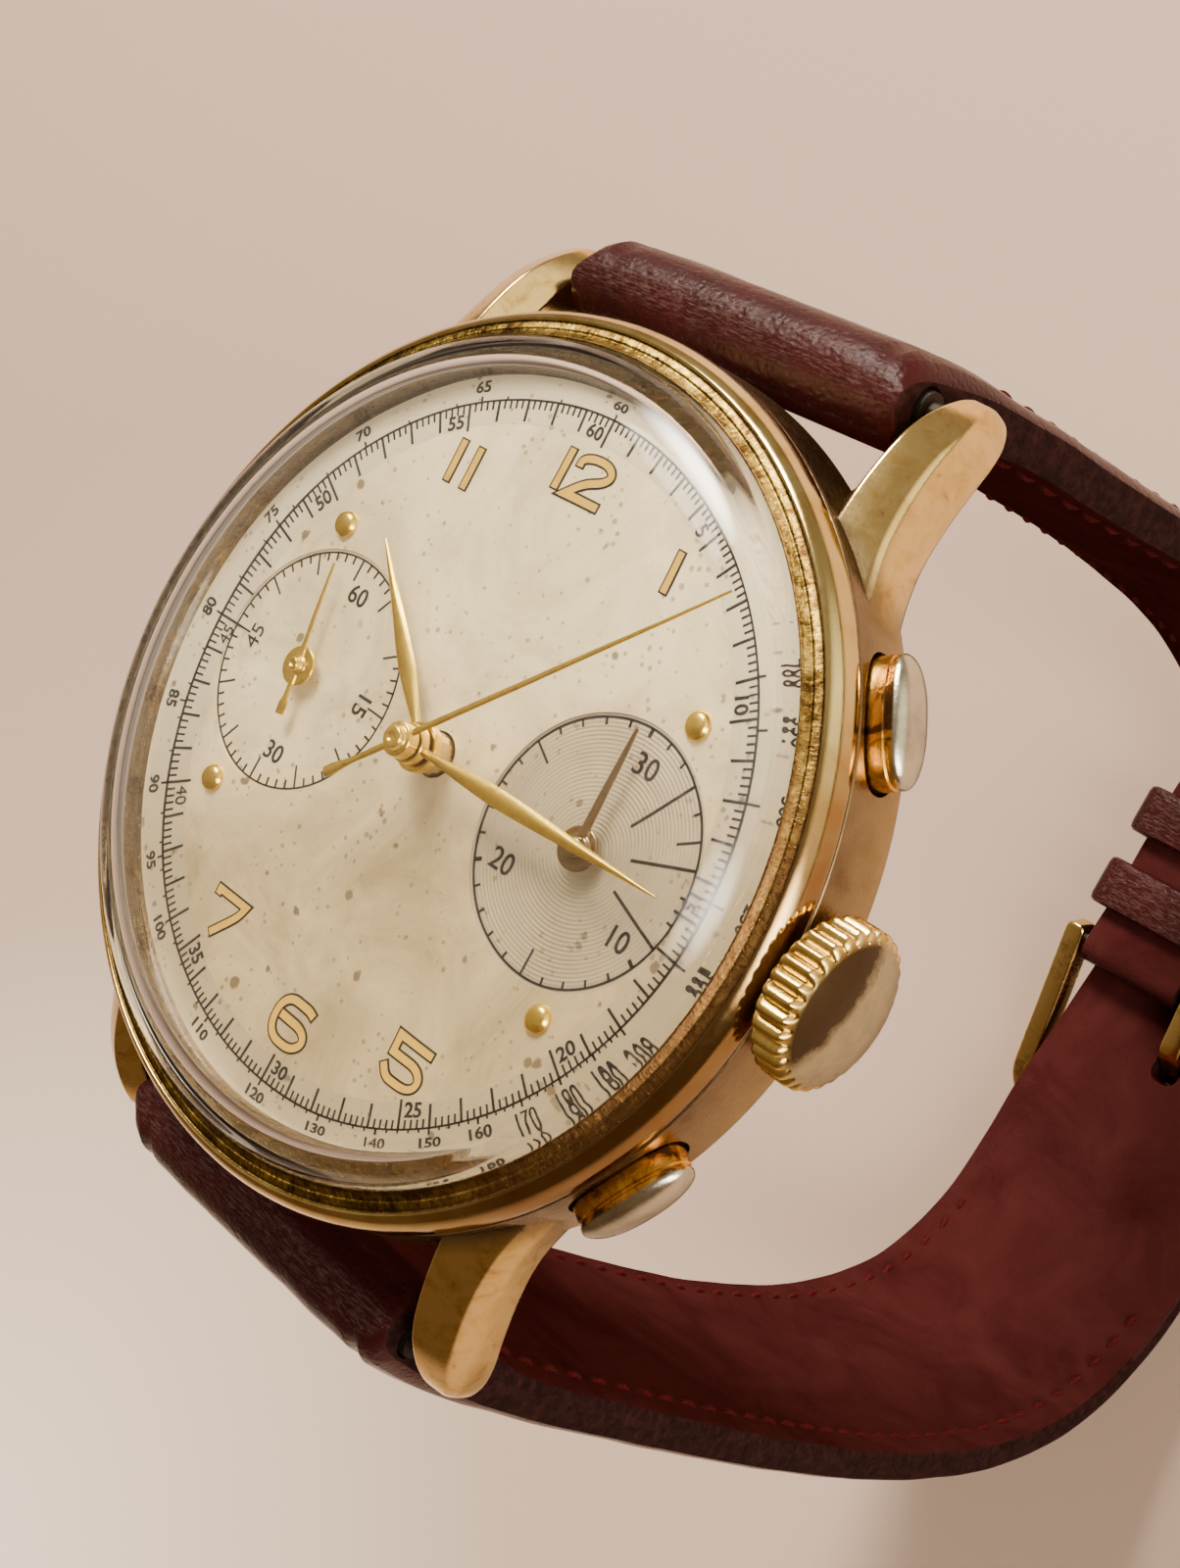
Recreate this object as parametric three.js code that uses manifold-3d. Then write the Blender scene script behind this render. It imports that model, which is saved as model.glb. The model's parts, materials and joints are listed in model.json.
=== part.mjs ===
// A mechanical chronograph wristwatch on a buckled leather strap.
// Millimetres, +Z out of the dial, +Y to 12 o'clock, +X to the crown.
// Heights below are measured from the seam between the bezel and the case middle;
// the last lines stand the finished watch on the lowest faces of its strap loop.

import * as THREE from "three";
import { mergeVertices } from "three/addons/utils/BufferGeometryUtils.js";
import Module from "manifold-3d";

const wasm = await Module();
wasm.setup();

// ---- driving dimensions ------------------------------------------------------

const ROUND = 64;                 // sides of the large rings
const FINE = 12;                  // sides of small round pieces

const BAND_TOP_R = 18.0;          // case middle at the bezel seam
const BAND_LOW_R = 18.25;         // case middle at its lower edge
const BAND_LOW_Z = -3.1;
const BORE_R = 14.6;              // bore of the case middle, round the movement
const DIAL_SEAT_R = 16.05;
const DIAL_SEAT_Z = -0.5;

const DIAL_R = 15.95;
const DIAL_TOP = 0.1;
const DIAL_THICK = 0.5;
const REGISTER_X = 8.42;          // sub-dial centres, left and right
const DOT_RING_R = 11.83;
const DOT_R = 0.58;
const DOT_HOURS = [2, 4, 8, 10];

const CRYSTAL_R = 16.5;
const CRYSTAL_WALL = 0.8;
const CRYSTAL_TOP = 4.6;
const BACK_LOW_Z = -7.4;          // outer face of the case back
const BACK_WALL = 0.6;

const CROWN_Z = -1.0;
const CROWN_R = 3.05;
const CROWN_REAR_X = 18.5;
const CROWN_RIM_X = 19.85;
const CROWN_DOME_X = 20.65;
const CROWN_FLUTES = 30;
const STEM_R = 0.4;
const TUBE_R = 0.75;

const PUSHER_ANGLE = 30;          // degrees each side of the crown
const PUSHER_Z = -1.5;
const PUSHER_LONG = 4.8;          // along the case band
const PUSHER_TALL = 2.2;          // along the watch axis
const PUSHER_CORNER = 1.0;
const PUSHER_BASE_R = 17.2;
const PUSHER_RIM_R = 19.05;
const PUSHER_FACE_R = 19.55;
const PUSHER_TRAVEL = 1.0;

const BAR_Y = 20.0;               // spring bars between the lugs
const BAR_Z = -4.6;
const BAR_R = 0.75;
const BAR_TIP_R = 0.4;

const STRAP_WIDE = 17.6;          // at the lugs
const STRAP_NARROW = 16.2;        // at the buckle
const STRAP_SWAY = 0.065;         // sideways lean of the hanging loop, per mm of drop
const BASE_Z = -73.15;            // the plane the loop stands on

const PLATE_TOP = -0.95;
const PLATE_LOW = -1.9;
const BRIDGE_TOP = -4.1;
const BRIDGE_LOW = -4.6;
const MOVEMENT_R = 13.9;
const MOVEMENT_SIDES = 48;
const BRIDGE_R = 13.3;            // the bridges end inside the movement's edge
const ARBOR_SIDES = 12;

// rest angles of the hands, anticlockwise from the crown, in degrees
const HOUR_ANGLE = 138;
const MINUTE_ANGLE = 1;
const CHRONO_ANGLE = 45.5;
const RUNNING_ANGLE = 101;
const COUNTER_ANGLE = 92;

// ---- helpers -------------------------------------------------------------------

const rad = THREE.MathUtils.degToRad;
const watch = new THREE.Group();

function material(color, roughness, metalness, opacity = 1) {
  return new THREE.MeshStandardMaterial({
    color, roughness, metalness, opacity, transparent: opacity < 1,
  });
}

const GOLD = material(0xd9b46a, 0.25, 1.0);
const ROSE = material(0xc9a27c, 0.35, 1.0);
const WORN = material(0xcfcaa8, 0.3, 1.0);
const BRASS = material(0xc8a45c, 0.35, 1.0);
const STEEL = material(0xb9bcc0, 0.3, 1.0);
const NICKEL = material(0xcac6bb, 0.35, 1.0);
const SILVERED = material(0xcbbfae, 0.5, 0.3);
const ACRYLIC = material(0xffffff, 0.05, 0.0, 0.25);
const LEATHER = material(0x4a1b22, 0.45, 0.0);

function add(name, geometry, mat) {
  const mesh = new THREE.Mesh(geometry, mat);
  mesh.name = name;
  watch.add(mesh);
  return mesh;
}

function solid(geometry) {
  const bare = geometry.clone();
  bare.deleteAttribute("normal");
  bare.deleteAttribute("uv");
  const merged = mergeVertices(bare, 1e-5);
  return new wasm.Manifold(new wasm.Mesh({
    numProp: 3,
    vertProperties: new Float32Array(merged.attributes.position.array),
    triVerts: new Uint32Array(merged.index.array),
  }));
}

function geometryOf(manifold) {
  const mesh = manifold.getMesh();
  const geometry = new THREE.BufferGeometry();
  geometry.setAttribute("position", new THREE.BufferAttribute(mesh.vertProperties, 3));
  geometry.setIndex(new THREE.BufferAttribute(mesh.triVerts, 1));
  return geometry;
}

function cut(base, ...tools) {
  let body = solid(base);
  for (const tool of tools) body = body.subtract(solid(tool));
  return geometryOf(body);
}

function join(...pieces) {
  let body = solid(pieces[0]);
  for (const piece of pieces.slice(1)) body = body.add(solid(piece));
  return geometryOf(body);
}

// a body of revolution about Z from [radius, z] pairs, listed anticlockwise
function turned(profile, sides = ROUND, closed = false) {
  const points = profile.map(([r, z]) => new THREE.Vector2(r, z));
  if (closed) points.push(points[0].clone());
  return new THREE.LatheGeometry(points, sides).rotateX(Math.PI / 2);
}

// a plain cylinder along Z between two heights
function rod(radius, low, high, x = 0, y = 0, sides = FINE) {
  return new THREE.CylinderGeometry(radius, radius, high - low, sides)
    .rotateX(Math.PI / 2)
    .translate(x, y, (low + high) / 2);
}

function block(x0, x1, y0, y1, z0, z1) {
  return new THREE.BoxGeometry(x1 - x0, y1 - y0, z1 - z0)
    .translate((x0 + x1) / 2, (y0 + y1) / 2, (z0 + z1) / 2);
}

function ring(inner, outer, low, high, x = 0, y = 0, sides = FINE) {
  return turned([[inner, low], [outer, low], [outer, high], [inner, high]], sides, true)
    .translate(x, y, 0);
}

function outline(points) {
  return new THREE.Shape(points.map(([x, y]) => new THREE.Vector2(x, y)));
}

// a flat outline given height between two levels
function plate(shape, low, high, curveSegments = 8) {
  return new THREE.ExtrudeGeometry(shape, {
    depth: high - low, bevelEnabled: false, curveSegments,
  }).translate(0, 0, low);
}

function roundedBox(halfX, halfY, radius) {
  const shape = new THREE.Shape();
  shape.moveTo(halfX, -halfY + radius);
  shape.absarc(halfX - radius, halfY - radius, radius, 0, Math.PI / 2);
  shape.absarc(-halfX + radius, halfY - radius, radius, Math.PI / 2, Math.PI);
  shape.absarc(-halfX + radius, -halfY + radius, radius, Math.PI, 1.5 * Math.PI);
  shape.absarc(halfX - radius, -halfY + radius, radius, 1.5 * Math.PI, 2 * Math.PI);
  return shape;
}

function circle(radius, x = 0, y = 0, sides = 20) {
  const points = [];
  for (let i = 0; i < sides; i += 1) {
    const a = (-2 * Math.PI * i) / sides;
    points.push(new THREE.Vector2(x + radius * Math.cos(a), y + radius * Math.sin(a)));
  }
  return new THREE.Path(points);
}

// a wheel with pointed teeth and a solid web, thin as a watch wheel is
function wheel(radius, teeth, low, high, depth = 0.28) {
  const points = [];
  for (let i = 0; i < teeth; i += 1) {
    const step = (2 * Math.PI) / teeth;
    for (const [part, r] of [[0, radius - depth], [0.5, radius]]) {
      const a = (i + part) * step;
      points.push([r * Math.cos(a), r * Math.sin(a)]);
    }
  }
  return plate(outline(points), low, high);
}

// ---- case ----------------------------------------------------------------------

// The lug's cross-section as [share across, share down] from its inner top corner:
// a bevel on the inner edge, a top sloping out, a rounded ridge and an upright outer side.
const LUG_SECTION = [[0, 1], [0.97, 1], [1, 0.42], [0.92, 0.22], [0.76, 0.1], [0.34, 0], [0, 0.36]];

// [y, inner x, outer x, top z, bottom z] along the lug, from inside the band to the tip
const LUG_STATIONS = [
  [8.8, 9.4, 15.6, -0.15, -3.0], [10.6, 9.4, 14.45, -0.15, -3.0], [12.4, 9.4, 13.55, -0.2, -3.2],
  [14.2, 9.4, 12.85, -0.4, -3.7], [16.0, 9.4, 12.45, -0.8, -4.35], [17.8, 9.4, 12.2, -1.45, -5.1],
  [19.0, 9.4, 12.05, -2.15, -5.65], [20.0, 9.5, 11.8, -3.1, -6.0], [20.7, 9.7, 11.5, -4.05, -5.9],
  [21.0, 10.0, 11.1, -4.7, -5.5],
];

// One lug of the upper right quarter: the section run along Y and fitted to each station.
function lug() {
  const steps = LUG_STATIONS.length - 1;
  const geometry = new THREE.ExtrudeGeometry(outline(LUG_SECTION), {
    depth: steps, steps, bevelEnabled: false,
  });
  const position = geometry.attributes.position;
  for (let i = 0; i < position.count; i += 1) {
    const [y, inner, outer, top, bottom] = LUG_STATIONS[Math.round(position.getZ(i))];
    const x = THREE.MathUtils.lerp(inner, outer, position.getX(i));
    const z = THREE.MathUtils.lerp(top, bottom, position.getY(i));
    position.setXYZ(i, x, y, z);
  }
  return solid(geometry);
}

function mirrored(manifold, sx, sy) {
  return manifold.scale([sx, sy, 1]);
}

function caseMiddle() {
  const band = turned([
    [BORE_R, BAND_LOW_Z], [BAND_LOW_R - 0.15, BAND_LOW_Z], [BAND_LOW_R, BAND_LOW_Z + 0.15],
    [BAND_TOP_R + 0.05, -0.1], [BAND_TOP_R - 0.05, 0], [DIAL_SEAT_R, 0],
    [DIAL_SEAT_R, DIAL_SEAT_Z], [BORE_R, DIAL_SEAT_Z],
  ], ROUND, true);
  const corner = lug();
  let body = solid(band);
  const bore = solid(rod(DIAL_SEAT_R, -9, 1, 0, 0, ROUND));
  const backRoom = solid(rod(BAND_LOW_R, -9, BAND_LOW_Z, 0, 0, ROUND));
  for (const [sx, sy] of [[1, 1], [-1, 1], [1, -1], [-1, -1]]) {
    body = body.add(mirrored(corner, sx, sy).subtract(bore).subtract(backRoom));
  }
  const across = 2 * (STRAP_WIDE / 2 + 2.0);
  for (const side of [-1, 1]) {
    body = body.subtract(solid(new THREE.CylinderGeometry(0.5, 0.5, across, 16)
      .rotateZ(Math.PI / 2).translate(0, side * BAR_Y, BAR_Z)));
    body = body.subtract(solid(radial(pusherSlot(), side * PUSHER_ANGLE)));
    body = body.subtract(solid(radial(alongX(0.85, 14, 17), side * PUSHER_ANGLE)));
  }
  body = body.subtract(solid(new THREE.CylinderGeometry(TUBE_R + 0.05, TUBE_R + 0.05, 6, FINE)
    .rotateZ(Math.PI / 2).translate(17, 0, CROWN_Z)));
  return geometryOf(body);
}

// a cylinder along +X at the pushers' height
function alongX(radius, from, to) {
  return new THREE.CylinderGeometry(radius, radius, to - from, FINE)
    .rotateZ(Math.PI / 2)
    .translate((from + to) / 2, 0, PUSHER_Z);
}

function radial(geometry, degrees) {
  return geometry.rotateZ(rad(degrees));
}

// a block with rounded corners whose long side lies along the case band
function pusherBlock(grow, from, to) {
  const shape = roundedBox(PUSHER_TALL / 2 + grow, PUSHER_LONG / 2 + grow, PUSHER_CORNER + grow);
  return plate(shape, 0, to - from, 4).rotateY(Math.PI / 2).translate(from, 0, PUSHER_Z);
}

function pusherSlot() {
  return pusherBlock(0.15, PUSHER_BASE_R - PUSHER_TRAVEL - 0.1, 22);
}

function pusher() {
  const shape = roundedBox(PUSHER_TALL / 2, PUSHER_LONG / 2, PUSHER_CORNER);
  const rim = PUSHER_RIM_R - PUSHER_BASE_R;
  const head = plate(shape, 0, rim, 4).rotateY(Math.PI / 2).translate(PUSHER_BASE_R, 0, PUSHER_Z);
  const dome = new THREE.SphereGeometry(1, 14, 8);
  dome.rotateZ(Math.PI / 2).scale(PUSHER_FACE_R - PUSHER_RIM_R, 3.6, 1.75)
    .translate(PUSHER_RIM_R, 0, PUSHER_Z);
  const capped = solid(dome).intersect(solid(plate(shape, -1, 3, 4)
    .rotateY(Math.PI / 2).translate(PUSHER_RIM_R, 0, PUSHER_Z)));
  const stem = solid(alongX(0.45, 13.1, PUSHER_BASE_R + 0.5));
  return geometryOf(solid(head).add(capped).add(stem));
}

add("case_middle", caseMiddle(), ROSE);

add("bezel", turned([
  [CRYSTAL_R + 0.05, 0.06], [BAND_TOP_R, 0.06], [BAND_TOP_R + 0.06, 0.25], [BAND_TOP_R - 0.04, 0.75],
  [BAND_TOP_R - 0.27, 1.15], [BAND_TOP_R - 0.58, 1.4], [BAND_TOP_R - 0.68, 1.32],
  [CRYSTAL_R + 0.45, 1.45], [CRYSTAL_R + 0.05, 1.62],
], ROUND, true), GOLD);

add("crystal", turned([
  [0, CRYSTAL_TOP - CRYSTAL_WALL], [8, 3.5], [12, 3.05], [14.9, 2.5], [15.6, 1.6],
  [CRYSTAL_R - CRYSTAL_WALL, 0.2], [CRYSTAL_R, 0.2], [CRYSTAL_R, 1.95],
  [15.95, 2.95], [15.2, 3.3], [12, 3.85], [7, CRYSTAL_TOP - 0.22], [0, CRYSTAL_TOP],
]), ACRYLIC);

add("case_back", turned([
  [0, BACK_LOW_Z], [13.6, BACK_LOW_Z], [14.4, BACK_LOW_Z + 0.25], [16.0, -6.3], [17.3, -4.4],
  [17.9, BAND_LOW_Z - 0.1], [16.4, BAND_LOW_Z - 0.1], [15.9, -4.2],
  [14.4, BACK_LOW_Z + BACK_WALL + 0.2], [13.4, BACK_LOW_Z + BACK_WALL], [0, BACK_LOW_Z + BACK_WALL],
]), ROSE);

add("movement_ring", ring(
  MOVEMENT_R + 0.1, BORE_R - 0.1, BAND_LOW_Z + 0.2, PLATE_LOW - 0.5, 0, 0, MOVEMENT_SIDES,
), BRASS);

add("crown_tube", new THREE.LatheGeometry([
  new THREE.Vector2(0.5, 16.3), new THREE.Vector2(TUBE_R, 16.3), new THREE.Vector2(TUBE_R, 18.75),
  new THREE.Vector2(0.5, 18.75), new THREE.Vector2(0.5, 16.3),
], FINE).rotateZ(-Math.PI / 2).translate(0, 0, CROWN_Z), STEEL);

for (const [name, side] of [["upper_pusher", 1], ["lower_pusher", -1]]) {
  const tube = new THREE.LatheGeometry([
    new THREE.Vector2(0.5, 14.7), new THREE.Vector2(0.8, 14.7), new THREE.Vector2(0.8, 16.0),
    new THREE.Vector2(0.5, 16.0), new THREE.Vector2(0.5, 14.7),
  ], FINE).rotateZ(-Math.PI / 2).translate(0, 0, PUSHER_Z);
  add(`${name}_tube`, radial(tube, side * PUSHER_ANGLE), STEEL);
  add(name, radial(pusher(), side * PUSHER_ANGLE), WORN);
}

// ---- crown and stem ------------------------------------------------------------

function crown() {
  const points = [];
  const step = (2 * Math.PI) / CROWN_FLUTES;
  for (let i = 0; i < CROWN_FLUTES; i += 1) {
    for (const [part, r] of [[0, 0.93], [0.25, 1], [0.7, 1], [0.95, 0.93]]) {
      const a = (i + part) * step;
      points.push([r * CROWN_R * Math.cos(a), r * CROWN_R * Math.sin(a)]);
    }
  }
  const fluted = plate(outline(points), CROWN_REAR_X, CROWN_RIM_X);
  const dome = turned([
    [0, CROWN_RIM_X - 0.3], [0.9 * CROWN_R, CROWN_RIM_X - 0.3], [0.9 * CROWN_R, CROWN_RIM_X],
    [0.78 * CROWN_R, CROWN_RIM_X + 0.35], [0.5 * CROWN_R, CROWN_DOME_X - 0.12], [0, CROWN_DOME_X],
  ], 2 * CROWN_FLUTES);
  const recess = rod(TUBE_R + 0.15, CROWN_REAR_X - 1, CROWN_REAR_X + 0.45);
  return geometryOf(solid(fluted).add(solid(dome)).subtract(solid(recess)))
    .rotateY(Math.PI / 2)
    .translate(0, 0, CROWN_Z);
}

add("crown", crown(), GOLD);

add("winding_stem", turned([
  [0, 9.4], [0.25, 9.4], [STEM_R, 9.8], [STEM_R, CROWN_REAR_X + 0.4], [0, CROWN_REAR_X + 0.4],
], 16).rotateY(Math.PI / 2).translate(0, 0, CROWN_Z), STEEL);

// ---- dial ----------------------------------------------------------------------

const dialLow = DIAL_TOP - DIAL_THICK;
add("dial", cut(
  rod(DIAL_R, dialLow, DIAL_TOP, 0, 0, ROUND),
  rod(0.95, -2, 2),
  rod(0.3, -2, 2, -REGISTER_X, 0),
  rod(0.3, -2, 2, REGISTER_X, 0),
), SILVERED);

for (const hour of DOT_HOURS) {
  const a = rad(90 - 30 * hour);
  const dot = turned([
    [0, DIAL_TOP + 0.02], [DOT_R, DIAL_TOP + 0.02], [DOT_R, DIAL_TOP + 0.12],
    [0.7 * DOT_R, DIAL_TOP + 0.3], [0, DIAL_TOP + 0.38],
  ], 16).translate(DOT_RING_R * Math.cos(a), DOT_RING_R * Math.sin(a), 0);
  add(`dial_dot_${hour}`, dot, GOLD);
}

// ---- hands ---------------------------------------------------------------------

// A leaf blade from the hub to the tip along +X, widest at a third of its length.
function leaf(length, width, neck) {
  const shape = new THREE.Shape();
  shape.moveTo(0.4, -neck / 2);
  shape.quadraticCurveTo(length * 0.22, -neck / 2, length * 0.36, -width / 2);
  shape.quadraticCurveTo(length * 0.62, -width * 0.42, length, -0.05);
  shape.lineTo(length, 0.05);
  shape.quadraticCurveTo(length * 0.62, width * 0.42, length * 0.36, width / 2);
  shape.quadraticCurveTo(length * 0.22, neck / 2, 0.4, neck / 2);
  return shape;
}

function hand(shape, low, high, hubOuter, hubInner, hubLow, hubHigh, degrees, x = 0) {
  const body = join(plate(shape, low, high, 5), rod(hubOuter, hubLow, hubHigh));
  const pierced = hubInner > 0 ? cut(body, rod(hubInner, hubLow - 1, hubHigh + 1)) : body;
  return pierced.rotateZ(rad(degrees)).translate(x, 0, 0);
}

// A straight blade along +X from [x, half width] pairs, the same on both sides.
function blade(stations) {
  const below = stations.map(([x, half]) => [x, -half]);
  const above = stations.map(([x, half]) => [x, half]).reverse();
  return outline([...below, ...above]);
}

const sweep = blade([[-3.7, 0.22], [-2.2, 0.12], [0, 0.14], [14.7, 0.05]]);
const runner = blade([[-2.1, 0.22], [-1.4, 0.13], [-0.6, 0.13], [4.4, 0.04]]);
const counter = blade([[0, 0.2], [4.75, 0.07]]);

add("hour_hand", hand(leaf(9.3, 0.95, 0.5), 1.0, 1.15, 1.0, 0.62, 0.95, 1.3, HOUR_ANGLE), GOLD);
add("minute_hand", hand(leaf(13.2, 0.85, 0.45), 1.6, 1.75, 0.8, 0.34, 1.45, 1.85, MINUTE_ANGLE), GOLD);
add("chronograph_hand", hand(sweep, 2.28, 2.4, 0.55, 0, 1.95, 2.75, CHRONO_ANGLE), GOLD);
add("running_seconds_hand", hand(runner, 0.62, 0.74, 0.5, 0, 0.5, 0.95, RUNNING_ANGLE, -REGISTER_X), GOLD);
add("minute_counter_hand", hand(counter, 0.62, 0.74, 0.6, 0, 0.5, 0.95, COUNTER_ANGLE, REGISTER_X), GOLD);

// ---- movement ------------------------------------------------------------------

const BARREL = [1.5, 8.2];
const CROWN_WHEEL = [7.9, 5.8];
const THIRD = [-4.4, -2.7];
const ESCAPE = [-10.0, -5.1];
const PALLET = [-7.4, -7.6];
const BALANCE = [-2.8, -9.0];
const COUPLING = [-5.3, 0];
const COLUMN = [9.2, -6.6];

function arbor(radius, low, high, [x, y]) {
  return rod(radius, low, high, x, y, ARBOR_SIDES);
}

// a notch in the plate's edge where a pusher reaches in
function pusherNotch(side) {
  return radial(block(10.6, 15, -1.9, 1.9, PLATE_LOW - 1, PLATE_TOP + 1), side * PUSHER_ANGLE);
}

add("main_plate", cut(
  rod(MOVEMENT_R, PLATE_LOW, PLATE_TOP, 0, 0, MOVEMENT_SIDES),
  rod(0.6, -3, 0),
  rod(0.4, -3, 0, -REGISTER_X, 0),
  rod(0.4, -3, 0, REGISTER_X, 0),
  block(9.0, 15, -0.6, 0.6, PLATE_LOW - 1, PLATE_TOP + 1),
  pusherNotch(1),
  pusherNotch(-1),
), NICKEL);

add("cannon_pinion", ring(0.3, 0.52, PLATE_TOP + 0.05, 1.4, 0, 0, 16), STEEL);
add("hour_wheel", geometryOf(solid(wheel(3.2, 24, -0.8, -0.55))
  .add(solid(rod(0.85, -0.7, 0.9, 0, 0, 16)))
  .subtract(solid(rod(0.58, -2, 2, 0, 0, 16)))), BRASS);

add("mainspring_barrel", cut(
  join(wheel(5.0, 28, -2.5, -2.2), rod(4.5, -3.9, -2.3, 0, 0, 28)),
  rod(4.1, -3.6, -1, 0, 0, 28),
  rod(0.6, -5, 0, 0, 0, 16),
).translate(BARREL[0], BARREL[1], 0), BRASS);

// the wound spring as one flat strip coiled inside the barrel
function mainspring() {
  const inner = [];
  const outer = [];
  const turns = 3.5;
  const steps = 42;
  for (let i = 0; i <= steps; i += 1) {
    const a = (i / steps) * turns * 2 * Math.PI;
    const r = 1.3 + (2.4 * i) / steps;
    inner.push([(r - 0.12) * Math.cos(a), (r - 0.12) * Math.sin(a)]);
    outer.unshift([(r + 0.12) * Math.cos(a), (r + 0.12) * Math.sin(a)]);
  }
  return plate(outline([...inner, ...outer]), -3.4, -2.6);
}

add("mainspring", mainspring().translate(BARREL[0], BARREL[1], 0), STEEL);
add("ratchet_wheel", join(
  wheel(4.1, 28, -5.05, -4.8).translate(BARREL[0], BARREL[1], 0),
  arbor(0.5, -5.3, -2.1, BARREL),
), STEEL);
add("crown_wheel", join(
  wheel(2.75, 18, -5.05, -4.8).translate(CROWN_WHEEL[0], CROWN_WHEEL[1], 0),
  arbor(0.4, -5.3, -4.2, CROWN_WHEEL),
), STEEL);
add("click", plate(outline([
  [-6.2, 8.9], [-3.6, 8.4], [-3.0, 8.9], [-3.9, 9.3], [-5.4, 10.4], [-6.4, 10.0],
]), -5.05, -4.8), STEEL);

add("centre_wheel", geometryOf(solid(wheel(3.4, 24, -2.55, -2.3))
  .add(solid(rod(0.5, -4.0, -2.1, 0, 0, 16)))
  .subtract(solid(rod(0.3, -6, 0, 0, 0, 16)))), BRASS);
add("third_wheel", join(
  wheel(2.7, 20, -3.15, -2.9).translate(THIRD[0], THIRD[1], 0),
  arbor(0.25, -4.0, -2.05, THIRD),
), BRASS);
add("fourth_wheel", join(
  wheel(2.5, 18, -3.75, -3.5).translate(-REGISTER_X, 0, 0),
  wheel(1.4, 14, -5.5, -5.25, 0.2).translate(-REGISTER_X, 0, 0),
  arbor(0.2, -5.7, 0.45, [-REGISTER_X, 0]),
), BRASS);
add("escape_wheel", join(
  wheel(1.7, 15, -2.9, -2.7, 0.45).translate(ESCAPE[0], ESCAPE[1], 0),
  arbor(0.2, -4.0, -2.05, ESCAPE),
), STEEL);
add("pallet_fork", join(
  plate(outline([
    [-9.0, -8.0], [-8.6, -6.9], [-7.2, -7.0], [-6.0, -8.0],
    [-5.2, -8.3], [-5.2, -8.8], [-6.6, -8.5], [-7.6, -8.0],
  ]), -2.9, -2.7),
  arbor(0.2, -4.0, -2.05, PALLET),
), STEEL);

function balance() {
  const rim = ring(3.1, 3.6, -3.75, -3.35, 0, 0, 28);
  const arms = block(-3.3, 3.3, -0.25, 0.25, -3.7, -3.45);
  const staff = rod(0.25, -4.0, -2.05, 0, 0, 12);
  const roller = rod(0.9, -3.2, -3.05, 0, 0, 16);
  return join(rim, arms, staff, roller).translate(BALANCE[0], BALANCE[1], 0);
}

add("balance_wheel", balance(), GOLD);
add("hairspring", ring(0.5, 2.0, -2.9, -2.8, BALANCE[0], BALANCE[1], 24), STEEL);

// a bridge outline clipped to the movement's circle
function bridge(points, low, high, ...holes) {
  const round = rod(BRIDGE_R, low - 1, high + 1, 0, 0, MOVEMENT_SIDES);
  let body = solid(plate(outline(points), low, high)).intersect(solid(round));
  for (const hole of holes) body = body.subtract(solid(hole));
  return geometryOf(body);
}

add("barrel_bridge", bridge(
  [[-9, 3.2], [12, 3.2], [14, 14], [-12, 14]], BRIDGE_LOW, BRIDGE_TOP,
  rod(0.6, -6, 0, ...BARREL), rod(0.5, -6, 0, ...CROWN_WHEEL),
), NICKEL);
add("train_bridge", bridge(
  [[-14, -6.4], [-6.2, -6.4], [-5.4, -4.2], [3.5, -3.2], [3.5, 2.9], [-14, 2.9]], BRIDGE_LOW, BRIDGE_TOP,
  rod(0.35, -6, 0), rod(0.4, -6, 0, -REGISTER_X, 0),
), NICKEL);
add("balance_cock", bridge(
  [[-4.2, -10.0], [-3.4, -7.6], [-1.6, -7.8], [1.6, -10.6], [3.4, -14], [-3.2, -14]], BRIDGE_LOW, BRIDGE_TOP,
), NICKEL);
add("chronograph_bridge", bridge(
  [[-2.4, -1.1], [10.6, -1.1], [12.4, -2.6], [12.8, 1.4], [10.6, 1.5], [-2.4, 1.1]], -6.5, -6.1,
  rod(0.3, -7, -5, 0, 0, 16), rod(0.3, -7, -5, REGISTER_X, 0, 16),
), NICKEL);

add("chronograph_wheel", join(
  wheel(3.6, 28, -5.5, -5.25),
  arbor(0.2, -6.4, 1.85, [0, 0]),
), BRASS);
add("minute_counting_wheel", join(
  wheel(2.2, 22, -5.5, -5.25, 0.2).translate(REGISTER_X, 0, 0),
  arbor(0.2, -6.4, 0.45, [REGISTER_X, 0]),
), BRASS);
add("coupling_wheel", join(
  wheel(1.62, 16, -5.5, -5.25, 0.2).translate(COUPLING[0], COUPLING[1], 0),
  arbor(0.2, -5.9, -4.75, COUPLING),
), BRASS);
add("column_wheel", join(
  wheel(1.8, 12, -5.3, -5.0, 0.35).translate(COLUMN[0], COLUMN[1], 0),
  wheel(1.2, 6, -6.0, -5.2, 0.6).translate(COLUMN[0], COLUMN[1], 0),
  arbor(0.3, -6.2, -4.7, COLUMN),
), STEEL);

// A lever behind the plate with a tab standing in a pusher's notch.
function pusherLever(side) {
  const arm = plate(outline([
    [11.0, -1.5], [12.7, -1.5], [12.7, 1.3], [12.0, 1.5], [9.0, -4.0], [10.2, -4.7],
  ]), -2.7, -2.3);
  const tab = block(11.9, 12.7, -1.3, 1.1, -2.5, -1.05);
  const pivot = rod(0.4, -3.2, -2.2, 10.2, -3.6, 12);
  const lever = join(arm, tab, pivot);
  if (side < 0) lever.scale(1, -1, 1);
  return side < 0 ? flipped(lever) : lever;
}

// a mirrored mesh has its faces turned back out
function flipped(geometry) {
  const index = geometry.index.array;
  for (let i = 0; i < index.length; i += 3) {
    const swap = index[i];
    index[i] = index[i + 1];
    index[i + 1] = swap;
  }
  return geometry;
}

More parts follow.
